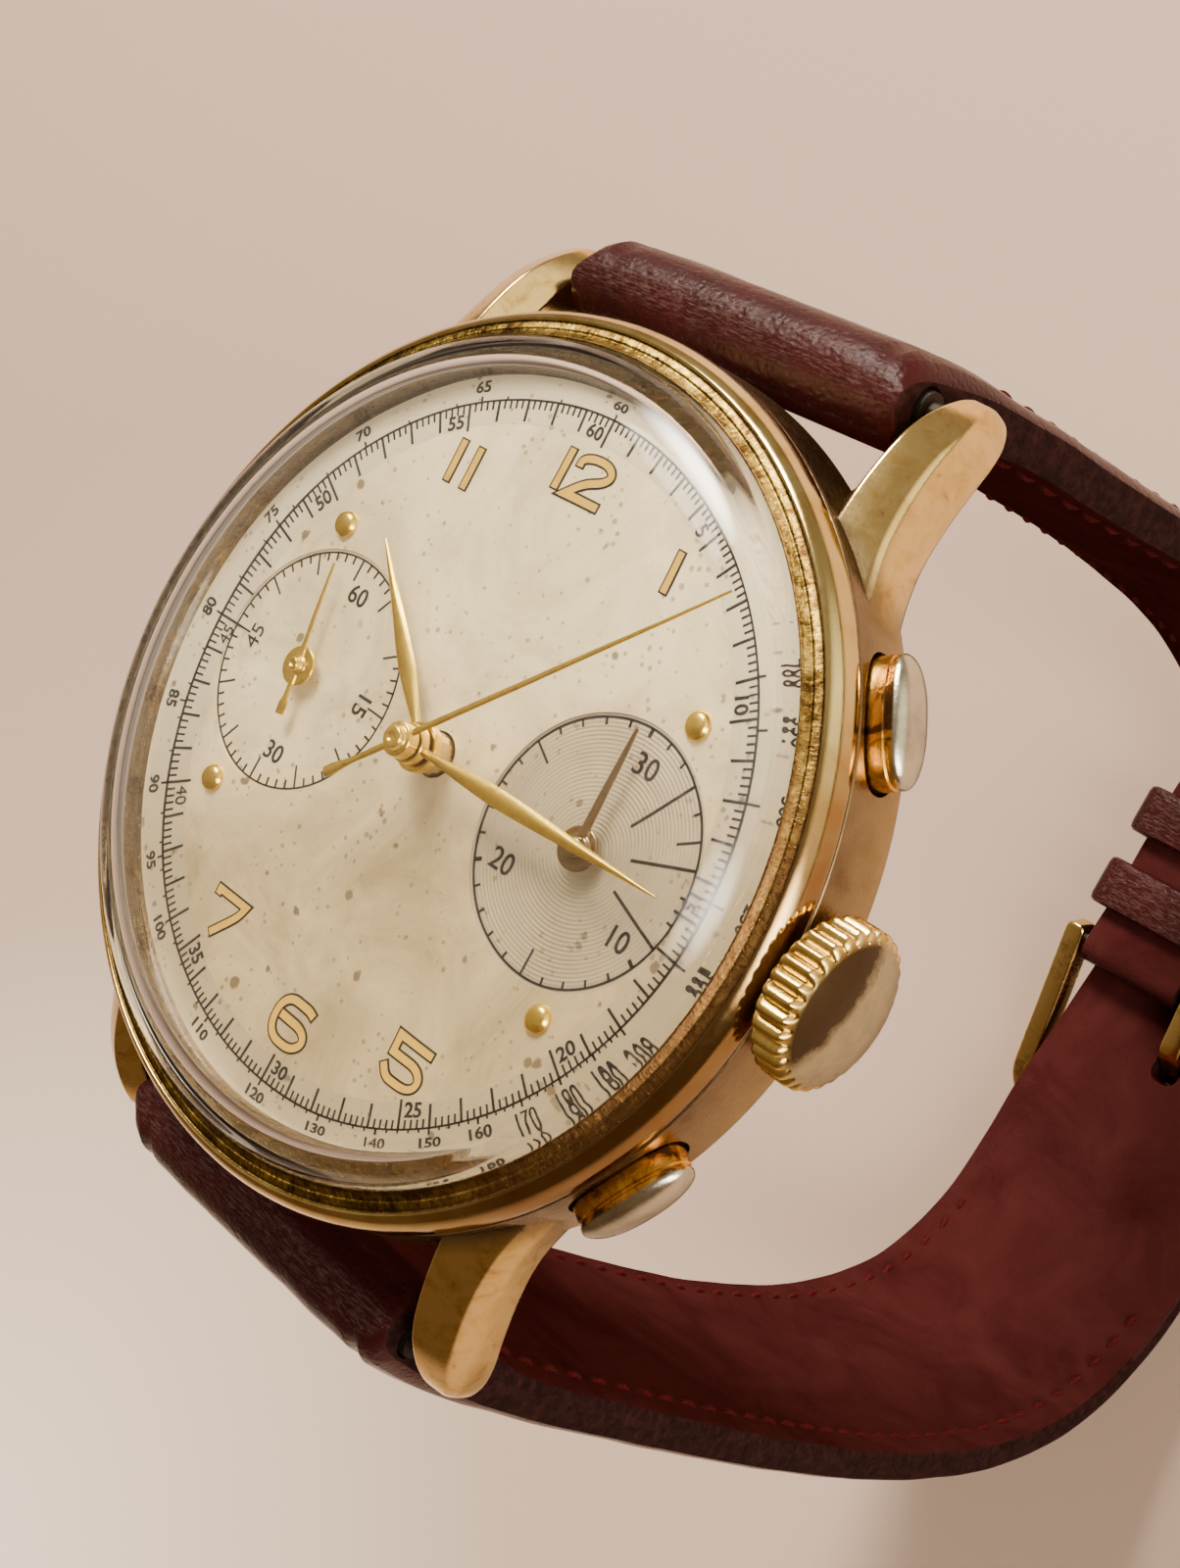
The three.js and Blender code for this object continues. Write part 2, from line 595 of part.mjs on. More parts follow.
add("operating_lever", radial(pusherLever(1), PUSHER_ANGLE), STEEL);
add("reset_lever", radial(pusherLever(-1), -PUSHER_ANGLE), STEEL);

// ---- strap ---------------------------------------------------------------------

// Sideways position of the loop's centre at a height.
function sway(z) {
  return STRAP_SWAY * Math.max(0, BAR_Z - z);
}

function strapHalfWidth(z) {
  const drop = THREE.MathUtils.clamp((BAR_Z - z) / (BAR_Z - BASE_Z), 0, 1);
  return THREE.MathUtils.lerp(STRAP_WIDE, STRAP_NARROW, drop) / 2;
}

const LINE_IN_Z = -68.6;          // centre line of the layer next to the wrist, under the buckle
const LINE_OUT_Z = -71.0;         // centre line of the tail outside it
const HINGE = [4.0, -68.45];      // buckle bar, as [y, z]

// Centre lines as [y, z] points, from the lug bar down.
const LINE_12 = [
  [BAR_Y, BAR_Z], [21.5, -10], [22.4, -20], [23.5, -33], [24.0, -46], [23.3, -57], [20.9, -64.8],
  [17.0, LINE_IN_Z], [14.8, LINE_IN_Z], [11, LINE_IN_Z], [8, LINE_IN_Z], HINGE,
];
const LINE_6 = [
  [-BAR_Y, BAR_Z], [-22.1, -11], [-23.5, -22], [-24.7, -36], [-25.0, -48], [-23.8, -58], [-20.8, -64.8],
  [-15.8, -68.5], [-10.5, -69.5], [-6.6, -69.65], [-1.2, -70.5], [3, LINE_OUT_Z], [8, LINE_OUT_Z],
  [12, LINE_OUT_Z], [15, LINE_OUT_Z], [17.2, LINE_OUT_Z], [22.9, -66.4], [25.5, -58.4], [26.3, -50],
];

const CAP_STEPS = 10;             // steps round each end of a strap half

// half the thickness at a share u of the way along, between [u, half] keys
function halfThickness(keys, u) {
  let i = 1;
  while (i < keys.length - 1 && keys[i][0] < u) i += 1;
  const [u0, h0] = keys[i - 1];
  const [u1, h1] = keys[i];
  return THREE.MathUtils.lerp(h0, h1, THREE.MathUtils.smoothstep(u, u0, u1));
}

// The side view of a strap half: its centre line thickened, with round ends.
function strapSide(line, keys, steps) {
  const points = line.map(([y, z]) => new THREE.Vector3(y, z, 0));
  const curve = new THREE.CatmullRomCurve3(points, false, "centripetal");
  const left = [];
  const right = [];
  for (let i = 0; i <= steps; i += 1) {
    const u = i / steps;
    const p = curve.getPointAt(u);
    const t = curve.getTangentAt(u);
    const h = halfThickness(keys, u);
    left.push([p.x - t.y * h, p.y + t.x * h]);
    right.unshift([p.x + t.y * h, p.y - t.x * h]);
  }
  const cap = (u, from) => {
    const p = curve.getPointAt(u);
    const t = curve.getTangentAt(u);
    const h = halfThickness(keys, u);
    const start = Math.atan2(t.y, t.x) + from;
    const round = [];
    for (let i = 1; i < CAP_STEPS; i += 1) {
      const a = start - (i / CAP_STEPS) * Math.PI;
      round.push([p.x + h * Math.cos(a), p.y + h * Math.sin(a)]);
    }
    return round;
  };
  return outline([...left, ...cap(1, Math.PI / 2), ...right, ...cap(0, -Math.PI / 2)].reverse());
}

// The side view given width along X, then leaned and tapered with height.
function strapSolid(shape) {
  const geometry = new THREE.ExtrudeGeometry(shape, { depth: 2, bevelEnabled: false, curveSegments: 8 })
    .translate(0, 0, -1)
    .rotateX(Math.PI / 2)
    .rotateZ(Math.PI / 2);
  const position = geometry.attributes.position;
  for (let i = 0; i < position.count; i += 1) {
    const z = position.getZ(i);
    position.setX(i, sway(z) + position.getX(i) * strapHalfWidth(z));
  }
  return geometry;
}

// a bored strap end, its shape hole placed on the bar that runs through it
function bored(shape, [y, z], radius) {
  shape.holes.push(circle(radius, y, z));
  return shape;
}

const baseSway = sway(LINE_IN_Z);

const BORE = 0.9;                 // of the rolls round the spring bars

// [share of the length, half thickness], from the roll to the other end
const THICK_12 = [[0, 2.0], [0.09, 1.15], [0.6, 1.0], [0.96, 1.0], [1, 1.25]];
const THICK_6 = [[0, 2.0], [0.07, 1.15], [0.6, 1.1], [0.75, 1.0], [1, 0.9]];

const side12 = bored(strapSide(LINE_12, THICK_12, 40), [BAR_Y, BAR_Z], BORE);
bored(side12, HINGE, 0.65);
add("strap_12", cut(
  strapSolid(side12),
  block(baseSway - 1.1, baseSway + 1.1, HINGE[0] - 3, HINGE[0] + 2.2, -72, -66),
), LEATHER);

const HOLE_Y = HINGE[0] - 4.4;              // where the buckle tongue passes through
const SPARE_HOLE_Y = HOLE_Y + 10.4;

function oval(y, low, high) {
  const shape = roundedBox(0.95, 1.3, 0.9);
  return plate(shape, low, high, 4).translate(baseSway, y, 0);
}

const side6 = bored(strapSide(LINE_6, THICK_6, 52), [-BAR_Y, BAR_Z], BORE);
add("strap_6", cut(
  strapSolid(side6),
  oval(HOLE_Y, -74, -66),
  oval(SPARE_HOLE_Y, LINE_OUT_Z - 2, LINE_OUT_Z + 2),
), LEATHER);

for (const [name, side] of [["spring_bar_12", 1], ["spring_bar_6", -1]]) {
  const half = STRAP_WIDE / 2 + 0.2;
  add(name, turned([
    [0, -half - 0.9], [BAR_TIP_R, -half - 0.9], [BAR_TIP_R, -half], [BAR_R, -half], [BAR_R, half],
    [BAR_TIP_R, half], [BAR_TIP_R, half + 0.9], [0, half + 0.9],
  ], 16).rotateY(Math.PI / 2).translate(0, side * BAR_Y, BAR_Z), STEEL);
}

// ---- keepers and buckle --------------------------------------------------------

const KEEPER_LONG = 3.2;
const KEEPER_IN_TOP = LINE_IN_Z + 1.25;
const KEEPER_IN_LOW = LINE_OUT_Z - 1.2;
const KEEPER_WALL = KEEPER_IN_LOW - BASE_Z;

function keeper(y) {
  const half = strapHalfWidth(LINE_IN_Z) + 0.3;
  const middle = (KEEPER_IN_TOP + KEEPER_IN_LOW) / 2;
  const tall = (KEEPER_IN_TOP - KEEPER_IN_LOW) / 2;
  const shape = roundedBox(half + KEEPER_WALL, tall + KEEPER_WALL, 0.8);
  shape.holes.push(new THREE.Path(roundedBox(half, tall, 0.2).getPoints(3).reverse()));
  return plate(shape, 0, KEEPER_LONG, 3)
    .rotateX(Math.PI / 2)
    .translate(baseSway, y + KEEPER_LONG, middle);
}

add("fixed_keeper", keeper(HINGE[0] + 2.4), LEATHER);
add("sliding_keeper", keeper(HINGE[0] + 7.6), LEATHER);

const FRAME_THICK = 1.7;
const FRAME_ARM_X = strapHalfWidth(LINE_IN_Z) + 0.4;
const FRAME_BAR_Y = HINGE[0] - 10.6;

function buckleFrame() {
  const cornerReach = Math.SQRT1_2 * FRAME_THICK;
  const reach = HINGE[0] - FRAME_BAR_Y;
  let tilt = 0;
  for (let i = 0; i < 8; i += 1) {
    const half = (FRAME_THICK / 2) * (Math.cos(tilt) + Math.sin(tilt));
    tilt = Math.atan2(HINGE[1] - (BASE_Z + half), reach);
  }
  const long = reach / Math.cos(tilt);
  const outer = FRAME_ARM_X + 1.4;
  const shape = outline([
    [-outer, 0.9], [-outer, -long + 0.6],
    [-outer + 1.2, -long - cornerReach + 0.35], [outer - 1.2, -long - cornerReach + 0.35],
    [outer, -long + 0.6], [outer, 0.9], [FRAME_ARM_X, 0.9], [FRAME_ARM_X, -long + 0.85],
    [-FRAME_ARM_X, -long + 0.85], [-FRAME_ARM_X, 0.9],
  ]);
  const flat = cut(
    plate(shape, -FRAME_THICK / 2, FRAME_THICK / 2),
    new THREE.CylinderGeometry(0.45, 0.45, 3 * outer, 16).rotateZ(Math.PI / 2),
  );
  const placed = flat.rotateX(tilt).translate(baseSway, HINGE[0], HINGE[1]);
  return cut(placed, block(baseSway - 1.0, baseSway + 1.0, FRAME_BAR_Y - 3, FRAME_BAR_Y + 3, -74, -72.0));
}

add("buckle_frame", buckleFrame(), GOLD);

add("buckle_bar", new THREE.CylinderGeometry(0.38, 0.38, 2 * (FRAME_ARM_X + 1.1), 16)
  .rotateZ(Math.PI / 2)
  .translate(baseSway, HINGE[0], HINGE[1]), STEEL);

// The tongue is cranked: it runs under the strap, up through the hole and out to the bar.
function tongue() {
  // [y, z] from the bar
  const shape = outline([
    [0, 1.15], [-3.6, 0.3], [-4.15, -0.15], [-5.5, -3.25], [-11.5, -3.9], [-11.5, -4.6], [-5.4, -4.15],
    [-4.8, -3.75], [-3.45, -0.55], [-0.6, -1.05], [0.9, -0.75], [1.2, 0], [0.9, 0.85],
  ]);
  shape.holes.push(circle(0.5));
  return new THREE.ExtrudeGeometry(shape, { depth: 1.4, bevelEnabled: false, curveSegments: 6 })
    .rotateX(Math.PI / 2)
    .rotateZ(Math.PI / 2)
    .translate(baseSway - 0.7, ...HINGE);
}

add("buckle_tongue", tongue(), GOLD);

// ---- stand the watch on its base ------------------------------------------------

watch.updateMatrixWorld(true);
const box = new THREE.Box3().setFromObject(watch, true);
watch.position.set(-(box.min.x + box.max.x) / 2, -(box.min.y + box.max.y) / 2, -box.min.z);

export default watch;
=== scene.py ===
"""A chronograph wristwatch on a leather strap: its finished surfaces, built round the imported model."""
import json
import math
from contextlib import contextmanager

import bmesh
import bpy
from mathutils import Matrix, Vector, noise

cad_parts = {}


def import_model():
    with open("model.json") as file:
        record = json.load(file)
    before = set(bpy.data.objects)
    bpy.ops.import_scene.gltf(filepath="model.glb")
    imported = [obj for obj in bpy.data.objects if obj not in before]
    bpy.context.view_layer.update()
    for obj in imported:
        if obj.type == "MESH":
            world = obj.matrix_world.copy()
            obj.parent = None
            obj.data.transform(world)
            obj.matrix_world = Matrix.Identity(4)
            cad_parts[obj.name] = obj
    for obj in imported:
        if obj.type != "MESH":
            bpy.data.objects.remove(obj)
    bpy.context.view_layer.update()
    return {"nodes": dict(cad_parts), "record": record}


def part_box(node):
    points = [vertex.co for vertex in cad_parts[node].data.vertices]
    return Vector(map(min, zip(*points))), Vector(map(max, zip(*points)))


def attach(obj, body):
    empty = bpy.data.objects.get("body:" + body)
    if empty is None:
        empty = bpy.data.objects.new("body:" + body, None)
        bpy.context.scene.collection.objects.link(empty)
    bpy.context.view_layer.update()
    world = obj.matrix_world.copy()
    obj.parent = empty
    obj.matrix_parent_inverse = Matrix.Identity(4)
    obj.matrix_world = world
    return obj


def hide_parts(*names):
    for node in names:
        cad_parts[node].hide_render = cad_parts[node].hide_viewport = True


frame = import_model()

# ---- the watch's own millimetres -----------------------------------------------------
# Heights start at the seam between the bezel and the case middle, x runs to the crown
# and y to 12 o'clock. The dial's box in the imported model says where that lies.

MM = 0.001
DIAL_TOP = 0.1
DIAL_R = 15.95
dial_low, dial_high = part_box("dial")
ORIGIN = Vector(((dial_low.x + dial_high.x) / 2, (dial_low.y + dial_high.y) / 2, dial_high.z - DIAL_TOP * MM))
TO_FRAME = Matrix.Translation(ORIGIN) @ Matrix.Scale(MM, 4)

REGISTER_X = 8.42                 # sub-dial centres, left and right
PRINT_HIGH = 0.02                 # the printing's height above the dial
CROWN_Z = -1.0
PUSHER_Z = -1.5
PUSHER_ANGLE = 30
BAR_Y = 20.0                      # spring bars
BAR_Z = -4.6
HINGE_Y, HINGE_Z = 4.0, -68.45    # buckle bar
BASE_Z = -ORIGIN.z / MM           # the plane that the strap loop stands on
SEAM = 1e-4                       # corners of a finished piece nearer than this are one corner
WELD = 1e-5                       # and those of a shape that is still to be cut or joined


def turned_flat(points, degrees):
    """(x, y) points turned about the watch's axis, anticlockwise."""
    c, s = math.cos(math.radians(degrees)), math.sin(math.radians(degrees))
    return [(x * c - y * s, x * s + y * c) for x, y in points]


def lerp(a, b, t):
    return a + (b - a) * t


def smoothstep(a, b, value):
    t = min(1.0, max(0.0, (value - a) / (b - a)))
    return t * t * (3 - 2 * t)


# ---- shapes --------------------------------------------------------------------------


@contextmanager
def edited(mesh):
    """Opens a mesh for editing, and writes it back at the end."""
    form = bmesh.new()
    form.from_mesh(mesh)
    yield form
    form.to_mesh(mesh)
    form.free()


def in_scene(name, data):
    made = bpy.data.objects.new(name, data)
    bpy.context.scene.collection.objects.link(made)
    return made


def shape(points, faces):
    """A loose object in watch millimetres, with its faces turned out."""
    mesh = bpy.data.meshes.new("shape")
    mesh.from_pydata(points, [], faces)
    with edited(mesh) as form:
        bmesh.ops.remove_doubles(form, verts=form.verts, dist=WELD)
        bmesh.ops.delete(form, geom=[e for e in form.edges if not e.link_faces], context="EDGES")
        bmesh.ops.recalc_face_normals(form, faces=form.faces)
    return in_scene("shape", mesh)


def rounded(points, steps=5, closed=True):
    """A polyline whose corners, given as (a, b, radius), are turned into short curves."""
    made = []
    count = len(points)
    for i, (a, b, *rest) in enumerate(points):
        radius = rest[0] if rest else 0
        if not radius or (not closed and i in (0, count - 1)):
            made.append((a, b))
            continue
        corner = Vector((a, b))
        before = Vector(points[i - 1][:2]) - corner
        after = Vector(points[(i + 1) % count][:2]) - corner
        back = before.normalized() * min(radius, before.length * 0.48)
        ahead = after.normalized() * min(radius, after.length * 0.48)
        for k in range(steps + 1):
            t = k / steps
            made.append(tuple(corner + back * (1 - t) ** 2 + ahead * t ** 2))
    return made


def grid(rows, wrap_rows=False, caps=False):
    """A surface through closed rows of points. caps closes the first and last row with one face each."""
    high, wide = len(rows), len(rows[0])
    points = [p for row in rows for p in row]
    faces = []
    for i in range(high if wrap_rows else high - 1):
        for j in range(wide):
            a, b = i * wide, ((i + 1) % high) * wide
            k = (j + 1) % wide
            faces.append((a + j, a + k, b + k, b + j))
    if caps:
        faces.append(tuple(range(wide)))
        faces.append(tuple(reversed(range((high - 1) * wide, high * wide))))
    return shape(points, faces)


def turned(profile, sides=192, radius=None):
    """A body of revolution about z from (r, z). radius(angle, r) may change r on the way round."""
    rows = []
    for i in range(sides):
        angle = 2 * math.pi * i / sides
        row = []
        for r, z in profile:
            reach = radius(angle, r) if radius else r
            row.append((reach * math.cos(angle), reach * math.sin(angle), z))
        rows.append(row)
    return grid(rows, wrap_rows=True)


def prism(outline, low, high, bevel=0.0):
    """A flat outline given height, with its rims rounded off."""
    rows = [[(x, y, low) for x, y in outline], [(x, y, high) for x, y in outline]]
    made = grid(rows, caps=True)
    if bevel:
        with edited(made.data) as form:
            rims = [e for e in form.edges if abs(e.verts[0].co.z - e.verts[1].co.z) < 1e-6]
            bmesh.ops.bevel(form, geom=rims, offset=bevel, segments=3, profile=0.5, affect="EDGES")
    return made


def rounded_box(half_x, half_y, radius):
    return rounded([(half_x, -half_y, radius), (half_x, half_y, radius),
                    (-half_x, half_y, radius), (-half_x, -half_y, radius)], 6)


def rod(radius, low, high, x=0.0, sides=48):
    """A plain cylinder along z, used to cut and to join."""
    angles = [2 * math.pi * i / sides for i in range(sides)]
    return prism([(x + radius * math.cos(a), radius * math.sin(a)) for a in angles], low, high)


def moved(made, matrix):
    made.data.transform(matrix)
    if matrix.determinant() < 0:
        made.data.flip_normals()
    return made


def shifted(made, x=0.0, y=0.0, z=0.0):
    return moved(made, Matrix.Translation((x, y, z)))


def along_x(made):
    """Turns what was built along z to lie along x, with its own y kept."""
    return moved(made, Matrix.Rotation(math.pi / 2, 4, "Y"))


def cross_rod(radius, low, high, y=0.0, z=0.0):
    """A plain cylinder along x."""
    return shifted(along_x(rod(radius, low, high)), y=y, z=z)


def combine(target, tool, operation="DIFFERENCE"):
    """Cuts or joins target by tool, which is used up."""
    modifier = target.modifiers.new("combine", "BOOLEAN")
    modifier.operation = operation
    modifier.solver = "EXACT"
    modifier.object = tool
    graph = bpy.context.evaluated_depsgraph_get()
    mesh = bpy.data.meshes.new_from_object(target.evaluated_get(graph))
    if not mesh.vertices:
        raise ValueError(f"nothing is left of {target.name}")
    target.modifiers.clear()
    target.data = mesh
    bpy.data.objects.remove(tool)
    return target


def together(shapes):
    """Several separate shapes as one object."""
    form = bmesh.new()
    for made in shapes:
        form.from_mesh(made.data)
    mesh = bpy.data.meshes.new("together")
    form.to_mesh(mesh)
    form.free()
    for made in shapes[1:]:
        bpy.data.objects.remove(made)
    shapes[0].data = mesh
    return shapes[0]


def piece(name, made, look, body="case", stands_for=(), sharp=35):
    """Puts a finished shape in the frame, shades it, and lets it ride on its body."""
    made.name = name
    mesh = made.data
    mesh.name = name
    mesh.transform(TO_FRAME)
    with edited(mesh) as form:
        bmesh.ops.remove_doubles(form, verts=form.verts, dist=SEAM * MM)
    mesh.polygons.foreach_set("use_smooth", [True] * len(mesh.polygons))
    mesh.set_sharp_from_angle(angle=math.radians(sharp))
    mesh.materials.clear()
    mesh.materials.append(look)
    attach(made, body)
    if stands_for:
        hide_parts(*stands_for)


def finish(node, kind, made, look, body="case", sharp=35):
    """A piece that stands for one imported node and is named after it."""
    piece(f"{node}_{kind}", made, look, body, [node], sharp)


# ---- materials -----------------------------------------------------------------------


class Nodes:
    """A node tree built by short calls."""

    def __init__(self, tree):
        self.tree = tree

    def node(self, kind, setting=(), **inputs):
        """A new node. setting is one (attribute, value), and inputs are named with _ for a space."""
        made = self.tree.nodes.new(kind)
        if setting:
            setattr(made, *setting)
        for key, value in inputs.items():
            self.feed(made.inputs[key.replace("_", " ")], value)
        return made

    def link(self, output, socket):
        self.tree.links.new(output, socket)

    def feed(self, socket, value):
        if isinstance(value, bpy.types.NodeSocket):
            self.link(value, socket)
        else:
            socket.default_value = value

    def fed(self, made, *values):
        """A node with values in its first sockets."""
        for socket, value in zip(made.inputs, values):
            self.feed(socket, value)
        return made

    def ramp(self, value, *stops):
        """Maps a value through (position, grey or colour) stops."""
        made = self.node("ShaderNodeValToRGB", Fac=value)
        points = made.color_ramp.elements
        while len(points) < len(stops):
            points.new(0.5)
        for point, (position, tone) in zip(points, stops):
            point.position = position
            point.color = (*tone, 1) if isinstance(tone, tuple) else (tone, tone, tone, 1)
        return made.outputs[0]

    def mix(self, amount, first, second):
        made = self.node("ShaderNodeMix", ("data_type", "RGBA"))
        self.feed(made.inputs[0], amount)
        for socket, value in ((made.inputs[6], first), (made.inputs[7], second)):
            self.feed(socket, (*value, 1) if isinstance(value, tuple) else value)
        return made.outputs[2]


class Look(Nodes):
    """A Principled material. Its coordinates are the watch's millimetres."""

    def __init__(self, name, color, metallic, roughness, **settings):
        self.material = bpy.data.materials.new(name)
        self.material.use_nodes = True
        super().__init__(self.material.node_tree)
        self.surface = self.tree.nodes["Principled BSDF"]
        settings.update(Base_Color=(*color, 1), Metallic=metallic, Roughness=roughness)
        for key, value in settings.items():
            self.surface.inputs[key.replace("_", " ")].default_value = value
        place = self.node("ShaderNodeTexCoord").outputs["Object"]
        self.place = self.node("ShaderNodeMapping", Vector=place, Location=-ORIGIN / MM,
                               Scale=(1 / MM,) * 3).outputs[0]

    def math(self, operation, *values):
        return self.fed(self.node("ShaderNodeMath", ("operation", operation)), *values).outputs[0]

    def times(self, a, b, plus=None):
        """a times b, plus a third value where there is one."""
        return self.math("MULTIPLY", a, b) if plus is None else self.math("MULTIPLY_ADD", a, b, plus)

    def axes(self, at=None):
        split = self.node("ShaderNodeSeparateXYZ", Vector=at or self.place)
        return split.outputs[0], split.outputs[1], split.outputs[2]

    def radius(self, x=0.0, y=0.0):
        """Distance in the dial's plane from a point."""
        across, up, _ = self.axes()
        dx, dy = self.math("SUBTRACT", across, x), self.math("SUBTRACT", up, y)
        return self.math("SQRT", self.times(dx, dx, self.times(dy, dy)))

    def polar(self, stretch=1.0):
        """A vector of (arc length / stretch, radius, height), for a grain that runs round the axis."""
        across, up, high = self.axes()
        angle = self.math("ARCTAN2", up, across)
        arc = self.times(angle, 16.0 / stretch)
        return self.node("ShaderNodeCombineXYZ", X=arc, Y=self.radius(), Z=high).outputs[0]

    def scaled(self, x, y, z):
        return self.node("ShaderNodeMapping", Vector=self.place, Scale=(x, y, z)).outputs[0]

    def noise(self, scale, detail=3.0, roughness=0.6, at=None, distortion=0.0):
        return self.node("ShaderNodeTexNoise", Vector=at or self.place, Scale=scale, Detail=detail,
                         Roughness=roughness, Distortion=distortion).outputs[0]

    def cells(self, scale, at=None):
        return self.node("ShaderNodeTexVoronoi", Vector=at or self.place, Scale=scale).outputs["Distance"]

    def between(self, value, low, high, soft=0.05):
        """1 where value lies between low and high, falling off over soft."""
        rise, fall = (self.node("ShaderNodeMapRange", Value=value, From_Min=at - soft, From_Max=at + soft)
                      for at in (low, high))
        return self.math("SUBTRACT", rise.outputs[0], fall.outputs[0])

    def color(self, value):
        self.feed(self.surface.inputs["Base Color"], value)
        return self

    def rough(self, value):
        self.feed(self.surface.inputs["Roughness"], value)
        return self

    def bump(self, height, depth):
        """Adds relief of depth millimetres on top of what is there."""
        made = self.node("ShaderNodeBump", Height=height, Distance=depth * MM, Strength=1.0)
        socket = self.surface.inputs["Normal"]
        if socket.is_linked:
            self.link(socket.links[0].from_socket, made.inputs["Normal"])
        self.link(made.outputs[0], socket)
        return self


def plated_gold():
    """Polished plate with cloudy brown tarnish, handling marks and fine scratches."""
    bright = (0.8, 0.58, 0.21)
    look = Look("polished_gold", bright, 1.0, 0.16)
    clouds = look.noise(0.5, 6.0, 0.65, distortion=0.6)
    fine = look.noise(3.2, 5.0, 0.7)
    stain = look.ramp(look.times(clouds, look.math("ADD", fine, 0.45)), (0.5, 0.0), (0.64, 1.0))
    look.color(look.mix(stain, bright, (0.34, 0.18, 0.05)))
    scratches = look.noise(9.0, 3.0, 0.7, at=look.scaled(0.25, 3.0, 1.0))
    marks = look.times(look.noise(5.0, 4.0), 0.16, look.times(stain, 0.22))
    look.rough(look.math("ADD", marks, 0.1))
    return look.bump(scratches, 0.004).bump(fine, 0.006).material


def bezel_look():
    """Polished convex band outside with a painted dark reflection towards the crown, and a pitted dark ring
    inside it.
    """
    bright = (0.76, 0.6, 0.24)
    look = Look("bezel_gold", bright, 1.0, 0.15)
    ring = look.between(look.radius(), 16.2, 17.36, 0.02)
    clumps = look.noise(1.1, 5.0, 0.7)
    grit = look.noise(2.2, 4.0, 0.8, at=look.polar(0.28))
    lines = look.math("MAXIMUM", look.between(look.radius(), 16.5, 16.7, 0.04),
                      look.between(look.radius(), 17.22, 17.34, 0.03))
    corroded = look.times(clumps, 0.55, look.times(grit, 0.45))
    pitted = look.ramp(corroded, (0.42, (0.05, 0.025, 0.006)), (0.52, (0.26, 0.16, 0.03)),
                       (0.64, (0.66, 0.46, 0.1)))
    pitted = look.mix(look.times(lines, 0.8), pitted, (0.06, 0.03, 0.008))
    wear = look.ramp(look.noise(0.35, 5.0, 0.6, distortion=0.5), (0.42, bright), (0.66, (0.56, 0.36, 0.1)))
    # Painted dark reflection: the band's colour turns dark brown towards the crown.
    across, up = look.axes()[:2]
    toward_crown = look.times(across, 0.057, look.times(up, -0.015))
    brown = look.ramp(toward_crown, (0.72, 0.0), (0.94, 0.8))
    look.color(look.mix(brown, look.mix(ring, wear, pitted), (0.2, 0.095, 0.035)))
    smooth = look.times(look.noise(4.0, 4.0), 0.12, 0.06)
    look.rough(look.times(ring, 0.16, smooth))
    look.bump(look.times(ring, grit), 0.03)
    look.bump(look.times(ring, clumps), 0.05)
    return look.bump(look.noise(9.0, 3.0, 0.7, at=look.polar(6.0)), 0.003).material


def satin_gold():
    """Case middle: a satin rose band with a grain round it, and polished yellow lugs with brown tarnish."""
    look = Look("case_gold", (0.72, 0.49, 0.3), 1.0, 0.3)
    lugs = look.between(look.radius(), 18.4, 60.0, 0.35)
    clouds = look.noise(0.3, 5.0, 0.6, distortion=0.8)
    band = look.ramp(clouds, (0.35, (0.26, 0.185, 0.095)), (0.55, (0.21, 0.145, 0.075)),
                     (0.72, (0.12, 0.078, 0.036)))
    patches = look.noise(0.75, 6.0, 0.68, distortion=0.9)
    bright = look.ramp(patches, (0.45, (0.84, 0.62, 0.24)), (0.6, (0.72, 0.5, 0.16)),
                       (0.74, (0.38, 0.22, 0.06)))
    blots = look.ramp(look.noise(1.6, 6.0, 0.7), (0.62, 0.0), (0.72, 0.8))
    look.color(look.mix(blots, look.mix(lugs, band, bright), (0.3, 0.15, 0.05)))
    grain = look.noise(14.0, 3.0, 0.7, at=look.polar(9.0))
    satin = look.times(grain, 0.2, 0.18)
    look.rough(look.mix(lugs, satin, look.times(clouds, 0.16, 0.06)))
    return look.bump(grain, 0.003).bump(look.noise(2.5, 5.0), 0.006).material


def crown_look():
    """Bright gold flutes; the dome is worn through to a pale brushed grey gold, with a painted dark
    reflection over its upper part.
    """
    look = Look("crown_gold", (0.9, 0.68, 0.32), 1.0, 0.2)
    across, _, _ = look.axes()
    dome = look.between(across, 20.08, 30.0, 0.1)
    clouds = look.noise(1.3, 5.0, 0.65)
    worn = look.ramp(clouds, (0.35, (0.38, 0.34, 0.2)), (0.62, (0.5, 0.43, 0.25)), (0.75, (0.2, 0.14, 0.07)))
    flutes = look.ramp(clouds, (0.4, (0.88, 0.64, 0.2)), (0.7, (0.6, 0.4, 0.1)))
    # Painted dark reflection: the worn dome turns dark brown towards its top and towards 12 o'clock, broken
    # up by clouds.
    _, up, high = look.axes()
    rise = look.times(up, 0.3, look.math("ADD", high, look.times(clouds, 1.5)))
    worn_with_painted_reflection = look.mix(look.ramp(rise, (0.2, 0.0), (0.7, 0.95)), worn, (0.05, 0.028, 0.012))
    look.color(look.mix(dome, flutes, worn_with_painted_reflection))
    brushed = look.noise(10.0, 3.0, 0.7, at=look.scaled(1.0, 0.25, 4.0))
    look.rough(look.times(dome, 0.16, look.times(brushed, 0.16, 0.1)))
    return look.bump(brushed, 0.008).material


